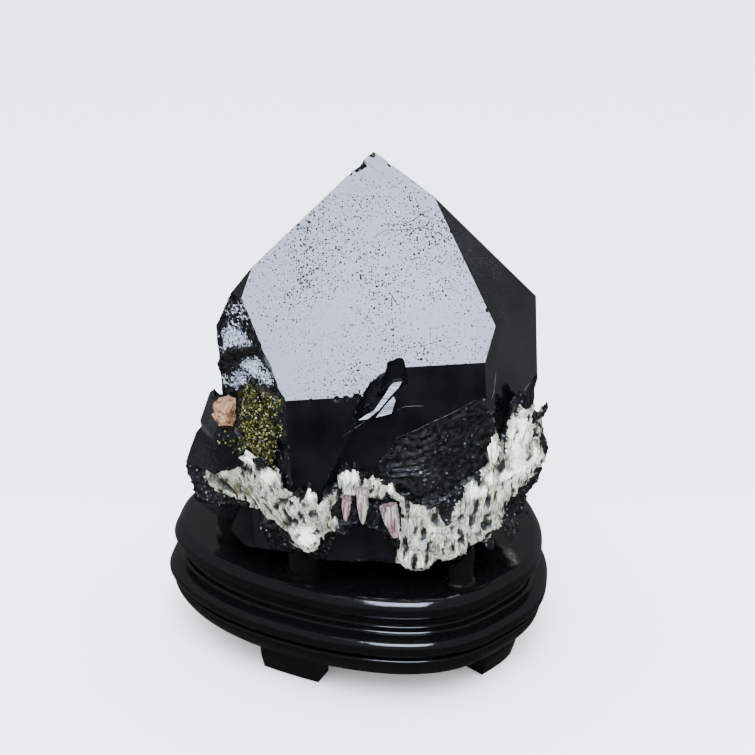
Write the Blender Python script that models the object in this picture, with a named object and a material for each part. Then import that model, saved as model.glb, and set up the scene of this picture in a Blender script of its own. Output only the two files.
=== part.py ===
"""Morion quartz: a black smoky quartz crystal with white albite round its foot, on a lacquered wood stand.

Shapes are worked out in millimetres and scaled to metres when each mesh is finished. The stone has a
frame of its own: its long crystal axis is +Z, azimuth 0 faces the viewer (-Y) and grows to their right.
"""
import math
import random

import bmesh
import bpy
from mathutils import Euler, Matrix, Vector, noise
from mathutils.bvhtree import BVHTree

MM = 0.001
GAP = 0.3

# Stand, in millimetres: the plan is the widest line of the deck's rounded nose.
STAND_HEIGHT = 44.0
STAND_PLAN = (
    (71.2, -6), (66.5, -27), (54, -43), (38, -55.5), (19, -59.5), (-4, -56), (-25, -47.5),
    (-45, -35.5), (-61, -20), (-71, -2), (-71.5, 13), (-67.5, 31), (-53, 48), (-22, 58.5),
    (18, 58.5), (49, 49), (65.5, 31), (70.8, 12),
)
PLAN_STEPS = 44
NOSE_RADIUS = 4.3
MOULDING = (
    (-3.2, -8.9), (-3.2, -10.0), (-4.7, -10.6), (-5.1, -11.9), (-4.5, -13.0), (-3.0, -13.4),
    (-2.3, -14.1), (-2.7, -14.9), (-1.2, -15.2), (1.2, -15.9), (2.3, -17.2), (2.6, -18.8), (2.2, -20.5),
    (0.9, -21.9), (-1.4, -22.3), (-1.4, -23.3), (0.4, -23.9), (0.6, -25.6), (-0.6, -28.6),
    (-2.8, -31.4), (-5.6, -33.0),
)
FEET = (("front_left", 0.345), ("front_right", 0.085), ("back_left", 0.64), ("back_right", 0.875))
FOOT_HALF_ARC = 0.03
FOOT_TOP_OUTSET = -6.2
FOOT_BOTTOM_OUTSET = -8.5
FOOT_THICKNESS = 11.0
PEGS = (
    ("front_left", -19.0, -38.0, 6.2), ("front_right", 37.5, -47.0, 4.8), ("left", -48.0, -9.0, 5.6),
    ("back_right", 33.0, 22.0, 5.6), ("back_left", -22.0, 24.0, 5.6),
)
PEG_LENGTH = 17.0

# Stone: where its frame sits above the floor, and how it leans on the pegs.
STONE_SEAT = (10.5, -8.7, 71.8)
STONE_LEAN = (-2.53, -2.88, 1.78)

# Crystal faces by azimuth and distance from the stone's origin.
FACE_TO_AXIS = 38.21
TERMINATION = ((0, 64.9), (60, 80.1), (120, 80.0), (180, 88.0), (-120, 77.3), (-60, 88.5))
PRISM = ((0, 45.0), (60, 50.4), (120, 50.2), (180, 45.0), (-120, 50.0), (-60, 51.4))
STEP_DEPTH = 5.9
STEP_LINE = ((14, 64), (-1.4, 49), (-13.6, 31.5), (-23.6, 12), (-26, -60), (90, -60), (90, 64))

# Crystals grown together with the main one: foot, lean to the right and away, radius, height, seed.
SIDE_CRYSTALS = (
    ((-49, 10, -24), (-6, 2), 15.5, 66, 3),
    ((-57, 14, -22), (-14, 6), 18.0, 42, 5),
    ((-44, -8, -24), (-20, -16), 17.0, 28, 8),
    ((46, 14, -24), (9, 6), 17.0, 46, 11),
    ((46, 3, -12), (10, -4), 11.0, 37, 26),
    ((18, 40, -24), (4, 18), 15.0, 52, 14),
    ((-22, 40, -24), (-8, 24), 16.0, 38, 17),
    ((2, 44, -24), (0, 32), 13.0, 26, 21),
)

# Broken hollows in the stone: azimuth, along, height, distance of its centre, radii, twist, roughness, seed.
BITES = (
    (-60, -10, 36, 58.0, (18, 11.5, 20), 12, 0.16, 2),
    (-60, 2, 58, 56.5, (9, 6.5, 7), 0, 0.18, 4),
    (8, 28, 7, 44.0, (32, 8.0, 33), -28, 0.10, 6),
    (0, -1.5, 46, 44.0, (5.6, 7.0, 14.5), 36, 0.10, 9),
    (60, 26, 22, 54.0, (14, 6.5, 18), 0, 0.14, 12),
    (120, -8, 30, 55.0, (20, 8.0, 24), 20, 0.12, 15),
    (-120, 8, 34, 55.0, (18, 8.0, 22), -15, 0.12, 18),
)

# Rough lower outline of the stone: height, then the radius in front, at right, behind and at left.
ENVELOPE = (
    (140, 160, 160, 160, 160), (62, 90, 90, 90, 95), (30, 60, 72, 62, 84), (12, 50, 68, 56, 80),
    (2, 47, 61, 53, 76), (-8, 44, 54, 49, 70), (-15, 41, 48, 44, 61), (-20, 36, 40, 36, 48),
    (-22.5, 18, 20, 18, 22),
)
ENVELOPE_STEPS = 32

# Albite crust by azimuth: top height, bottom height, thickness.
CRUST = (
    (-180, 14, -14, 3.0), (-150, 22, -12, 3.5), (-120, 10, -8, 3.0), (-100, 3, -9, 3.2), (-84, 5, -8, 3.2),
    (-74, 15, -4, 3.2), (-64, 20, -2, 3.4), (-54, 20, -5, 3.6), (-42, 15, -10, 3.8), (-30, 13, -12, 4.2), (-16, 12, 0, 3.4),
    (-2, 12, -8, 4.0), (12, 7, -20, 3.6), (28, 5, -22, 3.6), (44, 12, -21, 4.2), (54, 22, -20, 4.6),
    (66, 33, -14, 4.4), (76, 28, -8, 3.4), (84, 14, -8, 2.8), (92, 8, -8, 2.8), (115, 12, -14, 3.2), (145, 18, -16, 3.4),
)
CRUST_STEPS = 60
CRUST_ROWS = 5

# Albite blades: azimuth, height of the foot, lean outwards, lean sideways, width, thickness, length.
BLADES = (
    (-19, 9, 12, -4, 5.5, 2.4, 10), (-14, 9, 10, 6, 5.0, 2.4, 11), (-8, 6, 16, -10, 5.0, 2.2, 9),
    (-3, 7, 14, 8, 6.0, 2.4, 10), (3, 5, 20, -6, 5.0, 2.2, 8), (8, 3, 18, 12, 4.5, 2.2, 8),
    (-34, 8, 8, 14, 4.5, 2.6, 9), (-40, 4, 18, -8, 6.5, 2.8, 9), (-47, 13, 10, 26, 6.0, 2.6, 8),
    (-53, 15, 12, -16, 7.0, 2.8, 9), (-60, 13, 10, 14, 6.0, 2.6, 8), (-68, 11, 14, -12, 6.5, 2.6, 8),
    (-62, 4, 30, 24, 6.5, 2.8, 9), (-51, 2, 34, -18, 6.5, 2.8, 9), (50, 14, 18, -10, 5.5, 2.6, 12), (56, 20, 14, 6, 6.0, 2.8, 14),
    (61, 24, 12, -6, 5.5, 2.6, 15), (66, 27, 14, 8, 7.0, 2.8, 14), (71, 24, 16, -8, 6.0, 2.8, 12),
    (76, 20, 20, 6, 6.5, 2.8, 10), (82, 8, 26, -6, 6.0, 2.6, 8), (46, 6, 30, 14, 6.0, 2.6, 12),
    (53, 4, 36, -10, 6.5, 2.8, 12), (61, 2, 38, 12, 7.0, 2.8, 12), (70, 4, 40, -8, 6.5, 2.8, 11),
    (38, -4, 150, 8, 6.0, 2.6, 13), (45, -5, 156, -4, 6.5, 2.6, 15), (51, -4, 158, 6, 6.0, 2.6, 15),
    (57, -3, 155, -8, 6.0, 2.6, 14), (63, -1, 150, 6, 6.0, 2.6, 12), (24, -4, 120, 20, 7.0, 2.6, 10),
    (14, -7, 124, -20, 7.0, 2.8, 9), (-22, -2, 100, 10, 7.0, 2.8, 8), (100, 10, 30, 8, 6.0, 2.6, 11),
    (118, 6, 34, -10, 6.5, 2.8, 11), (138, 12, 28, 12, 6.5, 2.8, 12), (158, 8, 34, -6, 6.0, 2.8, 11),
    (178, 6, 36, 10, 6.5, 2.8, 11), (-162, 12, 30, -12, 6.0, 2.8, 12), (-142, 14, 26, 8, 6.5, 2.8, 12),
    (-122, 8, 34, -8, 6.0, 2.6, 11),
)

# Rounded albite lumps: centre in the stone's frame, radii, seed.
LUMPS = (
    ((-26.5, -39, -8), (6.5, 5.5, 8.0), 31), ((45, -22, -7), (4.5, 5.0, 9.0), 33),
    ((9, -40, -15), (8.0, 5.0, 7.5), 35), ((22, -40, -12), (8.0, 5.0, 9.0), 37),
    ((-42, -32, -4), (7.0, 5.5, 5.0), 39), ((57, -4, 8), (6.0, 6.0, 9.0), 41),
)

# Lepidolite books: centre of the wide end, lean sideways, width, depth, length.
BOOKS = (
    ("lepidolite_left", (-14.6, -43.5, 9.5), 6, 4.2, 4.5, 8.5),
    ("lepidolite_middle", (-8.8, -44.6, 13.5), 3, 5.6, 6.0, 13.0),
    ("lepidolite_right", (-0.3, -44.6, 6.5), -10, 7.6, 6.5, 12.5),
)
FELDSPAR = ((-57.6, -10.0, 31.5), (7.2, 6.0, 12.0), (6, 14, -40))
GREEN_CRUST = (-60, 1, 31, 48.4, (18.5, 6.2, 16.0), 24, 0.16, 23)

STONE_FRAME = Matrix.Translation(STONE_SEAT) @ Euler(
    [math.radians(angle) for angle in STONE_LEAN]).to_matrix().to_4x4()


def clear_scene():
    for obj in list(bpy.data.objects):
        bpy.data.objects.remove(obj, do_unlink=True)


def principled(name, colour, roughness, metallic=0.0):
    material = bpy.data.materials.new(name)
    material.use_nodes = True
    shader = material.node_tree.nodes["Principled BSDF"]
    shader.inputs["Base Color"].default_value = (*colour, 1.0)
    shader.inputs["Roughness"].default_value = roughness
    shader.inputs["Metallic"].default_value = metallic
    return material


def solid(name, bm):
    """Turn a bmesh into an object with triangles that all face outwards."""
    bmesh.ops.recalc_face_normals(bm, faces=bm.faces)
    mesh = bpy.data.meshes.new(name)
    bm.to_mesh(mesh)
    bm.free()
    obj = bpy.data.objects.new(name, mesh)
    bpy.context.scene.collection.objects.link(obj)
    return obj


def combine(obj, tool, operation):
    """Join, cut or intersect obj with tool, and remove the tool."""
    boolean = obj.modifiers.new("combine", "BOOLEAN")
    boolean.solver = "EXACT"
    boolean.operation = operation
    boolean.object = tool
    graph = bpy.context.evaluated_depsgraph_get()
    mesh = bpy.data.meshes.new_from_object(obj.evaluated_get(graph))
    obj.modifiers.clear()
    obj.data = mesh
    bpy.data.objects.remove(tool, do_unlink=True)
    return obj


def keep_largest(obj):
    """Drop the crumbs that a cut leaves loose, and clean the edges it made."""
    bm = bmesh.new()
    bm.from_mesh(obj.data)
    bmesh.ops.remove_doubles(bm, verts=bm.verts, dist=0.02)
    bmesh.ops.dissolve_degenerate(bm, edges=bm.edges, dist=0.02)
    bm.verts.ensure_lookup_table()
    unseen = set(bm.verts)
    groups = []
    while unseen:
        group = []
        queue = [unseen.pop()]
        while queue:
            vert = queue.pop()
            group.append(vert)
            for edge in vert.link_edges:
                other = edge.other_vert(vert)
                if other in unseen:
                    unseen.remove(other)
                    queue.append(other)
        groups.append(group)
    groups.sort(key=len)
    for group in groups[:-1]:
        bmesh.ops.delete(bm, geom=group, context="VERTS")
    bmesh.ops.triangulate(bm, faces=bm.faces)
    bmesh.ops.recalc_face_normals(bm, faces=bm.faces)
    bm.to_mesh(obj.data)
    bm.free()
    return obj


def facing(azimuth):
    """Unit vector out of the stone at an azimuth."""
    angle = math.radians(azimuth)
    return Vector((math.sin(angle), -math.cos(angle), 0.0))


def beside(azimuth):
    """Unit vector to the right of someone who looks at the stone from that azimuth."""
    angle = math.radians(azimuth)
    return Vector((math.cos(angle), math.sin(angle), 0.0))


def cut_block(planes, reach):
    """Convex solid left when a cube is cut by each (normal, distance) plane."""
    bm = bmesh.new()
    bmesh.ops.create_cube(bm, size=2 * reach)
    for normal, distance in planes:
        geometry = bm.verts[:] + bm.edges[:] + bm.faces[:]
        cut = bmesh.ops.bisect_plane(bm, geom=geometry, dist=1e-4, plane_co=normal * distance,
                                     plane_no=normal, clear_outer=True)
        rim = [item for item in cut["geom_cut"] if isinstance(item, bmesh.types.BMEdge)]
        if len(rim) > 2:
            bmesh.ops.contextual_create(bm, geom=rim)
    return bm


def rhombohedral(azimuth):
    tilt = math.radians(FACE_TO_AXIS)
    return facing(azimuth) * math.cos(tilt) + Vector((0, 0, math.sin(tilt)))


def main_crystal(grow):
    planes = [(rhombohedral(azimuth), distance + grow) for azimuth, distance in TERMINATION]
    planes += [(facing(azimuth), distance + grow) for azimuth, distance in PRISM]
    return solid("main_crystal", cut_block(planes, 140.0))


def side_crystal(foot, lean, radius, height, seed, grow):
    chance = random.Random(seed)
    planes = []
    for azimuth in range(0, 360, 60):
        planes.append((facing(azimuth), radius * chance.uniform(0.84, 1.08) + grow))
        tip = height * math.sin(math.radians(FACE_TO_AXIS)) * chance.uniform(0.93, 1.12)
        planes.append((rhombohedral(azimuth), tip + grow))
    bm = cut_block(planes, height * 1.6)
    turn = Euler((math.radians(-lean[1]), math.radians(lean[0]), math.radians(chance.uniform(0, 60))))
    bmesh.ops.transform(bm, matrix=Matrix.Translation(foot) @ turn.to_matrix().to_4x4(), verts=bm.verts)
    return solid("side_crystal", bm)


def rough(point, roughness, seed):
    """Factor that pushes a point of a broken surface in or out."""
    place = point.normalized() * 2.6 + Vector((seed * 3.7, seed * 1.9, seed * 5.3))
    return 1.0 + roughness * (noise.noise(place) * 1.3 + noise.noise(place * 2.7) * 0.6)


def rough_ball(radii, roughness, seed, grow):
    bm = bmesh.new()
    bmesh.ops.create_icosphere(bm, subdivisions=2, radius=1.0)
    for vert in bm.verts:
        push = rough(vert.co, roughness, seed)
        vert.co = Vector([vert.co[i] * (radii[i] * push + grow) for i in range(3)])
    return bm


def flank_ball(azimuth, along, height, distance, radii, twist, roughness, seed, grow):
    """Rough ball at a place on one side of the stone; its second radius points outwards."""
    bm = rough_ball(radii, roughness, seed, grow)
    centre = facing(azimuth) * distance + beside(azimuth) * along + Vector((0, 0, height))
    turn = Matrix.Rotation(math.radians(azimuth), 4, "Z") @ Matrix.Rotation(math.radians(twist), 4, "Y")
    bmesh.ops.transform(bm, matrix=Matrix.Translation(centre) @ turn, verts=bm.verts)
    return solid("flank_ball", bm)


def front_step(grow):
    """Block that cuts the front face back to the right of the step line."""
    near = -PRISM[0][1] + STEP_DEPTH - grow
    bm = bmesh.new()
    rim = [bm.verts.new((x + grow, near, z)) for x, z in STEP_LINE]
    face = bm.faces.new(rim)
    extruded = bmesh.ops.extrude_face_region(bm, geom=[face])
    moved = [item for item in extruded["geom"] if isinstance(item, bmesh.types.BMVert)]
    bmesh.ops.translate(bm, vec=(0, -60, 0), verts=moved)
    return solid("front_step", bm)


def blend_round(values, azimuth):
    """Smooth value at an azimuth from four values: in front, at right, behind and at left."""
    turn = (azimuth % 360) / 90
    first = int(turn) % 4
    share = turn - int(turn)
    share = share * share * (3 - 2 * share)
    return values[first] * (1 - share) + values[(first + 1) % 4] * share


def rough_envelope(grow):
    """Lathe-like body whose lower part gives the stone its broken foot."""
    bm = bmesh.new()
    rings = []
    for height, *radii in ENVELOPE:
        ring = []
        for step in range(ENVELOPE_STEPS):
            azimuth = 360 * step / ENVELOPE_STEPS
            out = facing(azimuth)
            place = out * 2.2 + Vector((7.1, 3.3, height * 0.085))
            push = 1.0 + 0.09 * noise.noise(place) + 0.07 * noise.noise(place * 2.9)
            lift = 2.2 * noise.noise(place * 1.7 + Vector((5, 9, 2))) if height < 60 else 0.0
            ring.append(bm.verts.new(out * (blend_round(radii, azimuth) * push + grow)
                                     + Vector((0, 0, height + lift - grow))))
        rings.append(ring)
    for upper, lower in zip(rings, rings[1:]):
        for i in range(ENVELOPE_STEPS):
            j = (i + 1) % ENVELOPE_STEPS
            bm.faces.new((upper[i], upper[j], lower[j], lower[i]))
    bm.faces.new(rings[0])
    low = sum((vert.co.z for vert in rings[-1])) / ENVELOPE_STEPS
    middle = bm.verts.new((0, 0, low - 1.0))
    for i in range(ENVELOPE_STEPS):
        bm.faces.new((rings[-1][i], rings[-1][(i + 1) % ENVELOPE_STEPS], middle))
    return solid("rough_envelope", bm)


def quartz_solid(grow):
    """The whole quartz, with every surface moved outwards by grow."""
    quartz = main_crystal(grow)
    combine(quartz, front_step(grow), "DIFFERENCE")
    for crystal in SIDE_CRYSTALS:
        combine(quartz, side_crystal(*crystal, grow), "UNION")
    for bite in BITES:
        combine(quartz, flank_ball(*bite, -grow), "DIFFERENCE")
    combine(quartz, rough_envelope(grow), "INTERSECT")
    return keep_largest(quartz)


def crust_at(azimuth):
    """Top, bottom and thickness of the albite at an azimuth, between the rows of CRUST."""
    azimuth = (azimuth + 180) % 360 - 180
    rows = CRUST + ((180, *CRUST[0][1:]),)
    for before, after in zip(rows, rows[1:]):
        if before[0] <= azimuth <= after[0]:
            share = (azimuth - before[0]) / (after[0] - before[0])
            return [a + (b - a) * share for a, b in zip(before[1:], after[1:])]
    return list(rows[0][1:])


def surface_radius(tree, azimuth, height):
    """Distance from the stone's axis to the quartz at an azimuth and height."""
    out = facing(azimuth)
    hit = tree.ray_cast(out * 200 + Vector((0, 0, height)), -out)[0]
    return hit.xy.length if hit else 30.0


def albite_ring(tree):
    """Closed crust that hugs the quartz; its inner side lies inside the quartz."""
    chance = random.Random(5)
    bm = bmesh.new()
    loops = []
    for step in range(CRUST_STEPS):
        azimuth = -180 + 360 * step / CRUST_STEPS
        top, bottom, thickness = crust_at(azimuth)
        out = facing(azimuth)
        top += chance.uniform(-2.0, 2.0)
        bottom += chance.uniform(-1.5, 1.5)
        loop = []
        for row in range(CRUST_ROWS):
            share = row / (CRUST_ROWS - 1)
            height = top + (bottom - top) * share
            radius = surface_radius(tree, azimuth, height)
            swell = thickness * (0.5 + 0.5 * math.sin(math.pi * min(1.0, 0.14 + share * 0.74)))
            swell *= chance.uniform(0.75, 1.3)
            loop.append(out * (radius + swell) + Vector((0, 0, height + chance.uniform(-0.8, 0.8))))
        inside = min(point.xy.length for point in loop) - 5.0
        loop.append(out * inside + Vector((0, 0, loop[-1].z)))
        loop.append(out * inside + Vector((0, 0, loop[0].z)))
        loops.append([bm.verts.new(point) for point in loop])
    for i, loop in enumerate(loops):
        after = loops[(i + 1) % CRUST_STEPS]
        for j in range(len(loop)):
            k = (j + 1) % len(loop)
            bm.faces.new((loop[j], after[j], after[k], loop[k]))
    bmesh.ops.triangulate(bm, faces=bm.faces)
    return solid("albite_ring", bm)


def blade(tree, azimuth, height, outwards, sideways, width, thickness, length):
    """Flat albite crystal with a chisel tip, rooted in the crust."""
    half_width = width / 2
    half = thickness / 2
    bm = bmesh.new()
    outline = ((-half_width, -3.5), (half_width, -3.5), (half_width * 1.1, length * 0.72),
               (half_width * 0.35, length), (-half_width * 0.95, length * 0.84))
    face = bm.faces.new([bm.verts.new((x, -half, z)) for x, z in outline])
    extruded = bmesh.ops.extrude_face_region(bm, geom=[face])
    moved = [item for item in extruded["geom"] if isinstance(item, bmesh.types.BMVert)]
    bmesh.ops.translate(bm, vec=(0, thickness, 0), verts=moved)
    foot = facing(azimuth) * (surface_radius(tree, azimuth, height) + 0.6) + Vector((0, 0, height))
    turn = (Matrix.Rotation(math.radians(azimuth), 4, "Z") @ Matrix.Rotation(math.radians(outwards), 4, "X")
            @ Matrix.Rotation(math.radians(sideways), 4, "Y"))
    bmesh.ops.transform(bm, matrix=Matrix.Translation(foot) @ turn, verts=bm.verts)
    return solid("blade", bm)


def albite_solid(tree):
    albite = albite_ring(tree)
    for centre, radii, seed in LUMPS:
        bm = rough_ball(radii, 0.16, seed, 0.0)
        bmesh.ops.translate(bm, vec=centre, verts=bm.verts)
        combine(albite, solid("lump", bm), "UNION")
    for row in BLADES:
        combine(albite, blade(tree, *row), "UNION")
    return albite


def book(centre, sideways, width, depth, length, grow):
    """Pink mica book: a wide top that tapers downwards, with flat sides."""
    bm = bmesh.new()
    sides = 6
    rings = []
    for height, scale in ((grow, 1.0), (-length * 0.55, 0.82), (-length - grow, 0.34)):
        ring = []
        for side in range(sides):
            angle = math.tau * (side + 0.5) / sides
            ring.append(bm.verts.new((math.cos(angle) * (width * 0.5 * scale + grow),
                                      math.sin(angle) * (depth * 0.5 * scale + grow), height)))
        rings.append(ring)
    for upper, lower in zip(rings, rings[1:]):
        for i in range(sides):
            j = (i + 1) % sides
            bm.faces.new((upper[i], upper[j], lower[j], lower[i]))
    bm.faces.new(rings[0])
    bm.faces.new(rings[-1])
    turn = Matrix.Rotation(math.radians(sideways), 4, "Y") @ Matrix.Rotation(math.radians(-8), 4, "X")
    bmesh.ops.transform(bm, matrix=Matrix.Translation(centre) @ turn, verts=bm.verts)
    return solid("book", bm)


def feldspar_solid(grow):
    """Blocky cleavage fragment: a box with its corners broken off."""
    centre, size, turn = FELDSPAR
    planes = [(Vector(normal).normalized(), distance + grow) for normal, distance in (
        ((1, 0, 0), size[0] / 2), ((-1, 0, 0), size[0] / 2), ((0, 1, 0), size[1] / 2),
        ((0, -1, 0), size[1] / 2), ((0, 0, 1), size[2] / 2), ((0, 0, -1), size[2] / 2),
        ((1, -0.4, 1), size[2] * 0.42), ((-1, -0.2, -1), size[2] * 0.40), ((-1, 0, 1.4), size[2] * 0.44),
        ((0.8, -0.8, -0.9), size[2] * 0.40))]
    bm = cut_block(planes, 30.0)
    frame = Euler([math.radians(angle) for angle in turn]).to_matrix().to_4x4()
    bmesh.ops.transform(bm, matrix=Matrix.Translation(centre) @ frame, verts=bm.verts)
    return solid("feldspar", bm)


def plan_point(share):
    """Point and outward normal of the stand's plan, on a smooth closed curve through STAND_PLAN."""
    count = len(STAND_PLAN)
    place = (share % 1.0) * count
    i = int(place)
    t = place - i
    before, start, end, after = (Vector(STAND_PLAN[(i + k) % count]) for k in (-1, 0, 1, 2))
    point = 0.5 * (2 * start + (end - before) * t + (2 * before - 5 * start + 4 * end - after) * t * t
                   + (3 * start - before - 3 * end + after) * t ** 3)
    along = 0.5 * ((end - before) + 2 * (2 * before - 5 * start + 4 * end - after) * t
                   + 3 * (3 * start - before - 3 * end + after) * t * t)
    return point, Vector((-along.y, along.x)).normalized()


def board(name, profile):
    """Board swept round the plan: each (outset, height) of the profile is one ring."""
    bm = bmesh.new()
    rings = []
    for outset, height in profile:
        ring = []
        for step in range(PLAN_STEPS):
            point, outward = plan_point(step / PLAN_STEPS)
            place = point + outward * outset
            ring.append(bm.verts.new((place.x, place.y, STAND_HEIGHT + height)))
        rings.append(ring)
    for upper, lower in zip(rings, rings[1:]):
        for i in range(PLAN_STEPS):
            j = (i + 1) % PLAN_STEPS
            bm.faces.new((upper[i], upper[j], lower[j], lower[i]))
    bm.faces.new(rings[0])
    bm.faces.new(rings[-1])
    return solid(name, bm)


def foot(name, share):
    """Bracket foot under the moulding, which follows the plan and tapers inwards."""
    bm = bmesh.new()
    rings = []
    top = -33.0 - GAP
    for height, outset in ((top, FOOT_TOP_OUTSET), (top * 0.6 - STAND_HEIGHT * 0.4, FOOT_TOP_OUTSET - 0.4),
                           (-STAND_HEIGHT, FOOT_BOTTOM_OUTSET)):
        ring = []
        for step in range(5):
            point, outward = plan_point(share + FOOT_HALF_ARC * (step - 2) / 2)
            ring.append(point + outward * outset)
        for step in range(5):
            point, outward = plan_point(share - FOOT_HALF_ARC * (step - 2) / 2)
            ring.append(point + outward * (FOOT_TOP_OUTSET - FOOT_THICKNESS))
        rings.append([bm.verts.new((place.x, place.y, STAND_HEIGHT + height)) for place in ring])
    for upper, lower in zip(rings, rings[1:]):
        for i in range(10):
            j = (i + 1) % 10
            bm.faces.new((upper[i], upper[j], lower[j], lower[i]))
    bm.faces.new(rings[0])
    bm.faces.new(rings[-1])
    return solid(name, bm)


def peg(name, x, y, radius):
    """Turned support peg: a base ring, a groove and a plain top that meets the stone."""
    profile = ((1.12, GAP), (1.12, 2.4), (0.92, 3.0), (0.92, 3.8), (1.0, 4.4), (1.0, PEG_LENGTH))
    bm = bmesh.new()
    sides = 20
    rings = []
    for scale, height in profile:
        rings.append([bm.verts.new((x + math.cos(math.tau * i / sides) * radius * scale,
                                    y + math.sin(math.tau * i / sides) * radius * scale,
                                    STAND_HEIGHT + height)) for i in range(sides)])
    for lower, upper in zip(rings, rings[1:]):
        for i in range(sides):
            j = (i + 1) % sides
            bm.faces.new((lower[i], lower[j], upper[j], upper[i]))
    bm.faces.new(rings[0])
    bm.faces.new(rings[-1])
    return solid(name, bm)


def keep_lowest(obj):
    """Keep the part of a cut peg that stands on the deck."""
    bm = bmesh.new()
    bm.from_mesh(obj.data)
    start = min(bm.verts, key=lambda vert: vert.co.z)
    kept = {start}
    queue = [start]
    while queue:
        for edge in queue.pop().link_edges:
            for vert in edge.verts:
                if vert not in kept:
                    kept.add(vert)
                    queue.append(vert)
    bmesh.ops.delete(bm, geom=[vert for vert in bm.verts if vert not in kept], context="VERTS")
    bm.to_mesh(obj.data)
    bm.free()
    return keep_largest(obj)


def copy_of(obj):
    twin = obj.copy()
    twin.data = obj.data.copy()
    bpy.context.scene.collection.objects.link(twin)
    return twin


def finish(obj, name, material, frame=None):
    """Name the piece, put it in its place and scale it to metres."""
    if frame:
        obj.data.transform(frame)
    obj.data.transform(Matrix.Scale(MM, 4))
    obj.name = name
    obj.data.name = name
    obj.data.materials.clear()
    obj.data.materials.append(material)
    obj.data.update()
    return obj


def build_stand():
    lacquer = principled("black_lacquer", (0.004, 0.004, 0.004), 0.1)
    arc = [math.radians(angle) for angle in (90, 60, 30, 0, -30, -60, -90)]
    nose = [((math.cos(a) - 1) * NOSE_RADIUS, (math.sin(a) - 1) * NOSE_RADIUS) for a in arc]
    finish(keep_largest(board("stand_deck", nose)), "stand_deck", lacquer)
    inner = ((-12.0, MOULDING[0][1]),)
    finish(keep_largest(board("stand_moulding", inner + MOULDING)), "stand_moulding", lacquer)
    for place, share in FEET:
        name = "stand_foot_" + place
        finish(keep_largest(foot(name, share)), name, lacquer)


def build_stone():
    quartz = quartz_solid(0.0)
    bm = bmesh.new()
    bm.from_mesh(quartz.data)
    tree = BVHTree.FromBMesh(bm)
    bm.free()
    quartz_room = quartz_solid(GAP)

    books = []
    for name, *shape in BOOKS:
        piece = combine(book(*shape, 0.0), copy_of(quartz_room), "DIFFERENCE")
        books.append((name, keep_largest(piece), shape))
    feldspar = keep_largest(combine(feldspar_solid(0.0), copy_of(quartz_room), "DIFFERENCE"))
    green = combine(flank_ball(*GREEN_CRUST, 0.0), copy_of(quartz_room), "DIFFERENCE")
    green = keep_largest(combine(green, feldspar_solid(GAP), "DIFFERENCE"))
    green_room = flank_ball(*GREEN_CRUST, GAP)

    albite = albite_solid(tree)
    for _, _, shape in books:
        combine(albite, book(*shape, GAP), "DIFFERENCE")
    combine(albite, feldspar_solid(GAP), "DIFFERENCE")
    combine(albite, green_room, "DIFFERENCE")
    combine(albite, copy_of(quartz_room), "DIFFERENCE")
    keep_largest(albite)

    ebony = principled("stand_peg_lacquer", (0.006, 0.005, 0.004), 0.15)
    albite_room = albite_solid(tree)
    albite_room.data.transform(STONE_FRAME)
    quartz_room.data.transform(STONE_FRAME)
    for place, x, y, radius in PEGS:
        name = "stand_peg_" + place
        piece = peg(name, x, y, radius)
        for room in (quartz_room, albite_room):
            lowered = copy_of(room)
            lowered.data.transform(Matrix.Translation((0, 0, -GAP)))
            combine(piece, lowered, "DIFFERENCE")
        finish(keep_lowest(piece), name, ebony)
    bpy.data.objects.remove(quartz_room, do_unlink=True)
    bpy.data.objects.remove(albite_room, do_unlink=True)

    finish(quartz, "morion_quartz", principled("morion", (0.012, 0.012, 0.014), 0.06), STONE_FRAME)
    finish(albite, "albite_matrix", principled("albite", (0.78, 0.76, 0.70), 0.5), STONE_FRAME)
    mica = principled("lepidolite", (0.56, 0.36, 0.42), 0.35)
    for name, piece, _ in books:
        finish(piece, name, mica, STONE_FRAME)
    finish(feldspar, "feldspar_fragment", principled("feldspar", (0.66, 0.40, 0.27), 0.55), STONE_FRAME)
    finish(green, "green_crust", principled("green_crust", (0.16, 0.15, 0.04), 0.4), STONE_FRAME)


def centre_part():
    """Move every piece so that the origin is under the middle of the whole part."""
    corners = [vert.co for obj in bpy.data.objects for vert in obj.data.vertices]
    middle = [(min(c[i] for c in corners) + max(c[i] for c in corners)) / 2 for i in range(2)]
    for obj in bpy.data.objects:
        obj.data.transform(Matrix.Translation((-middle[0], -middle[1], 0)))


clear_scene()
build_stand()
build_stone()
centre_part()
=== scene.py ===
"""Looks of a morion quartz: a black crystal with white albite and pink mica, on a black lacquered stand."""

import math
import random

import bmesh
import bpy
from mathutils import Euler, Matrix, Vector, noise
from mathutils.bvhtree import BVHTree


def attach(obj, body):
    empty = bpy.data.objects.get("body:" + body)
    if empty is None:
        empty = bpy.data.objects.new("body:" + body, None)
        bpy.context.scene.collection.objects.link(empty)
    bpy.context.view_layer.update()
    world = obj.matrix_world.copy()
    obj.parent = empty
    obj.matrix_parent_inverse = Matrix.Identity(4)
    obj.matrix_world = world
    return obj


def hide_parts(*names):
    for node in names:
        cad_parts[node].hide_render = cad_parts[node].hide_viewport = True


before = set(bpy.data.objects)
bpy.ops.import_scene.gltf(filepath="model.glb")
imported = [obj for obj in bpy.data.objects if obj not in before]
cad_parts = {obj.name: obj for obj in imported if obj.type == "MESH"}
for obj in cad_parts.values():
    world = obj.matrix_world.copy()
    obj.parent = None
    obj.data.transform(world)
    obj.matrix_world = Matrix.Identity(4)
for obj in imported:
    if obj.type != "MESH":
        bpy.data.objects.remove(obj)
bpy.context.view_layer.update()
MM = 0.001
# Vectors of noise come from Blender's random state, which starts from the clock unless it is set.
noise.seed_set(1)

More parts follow.
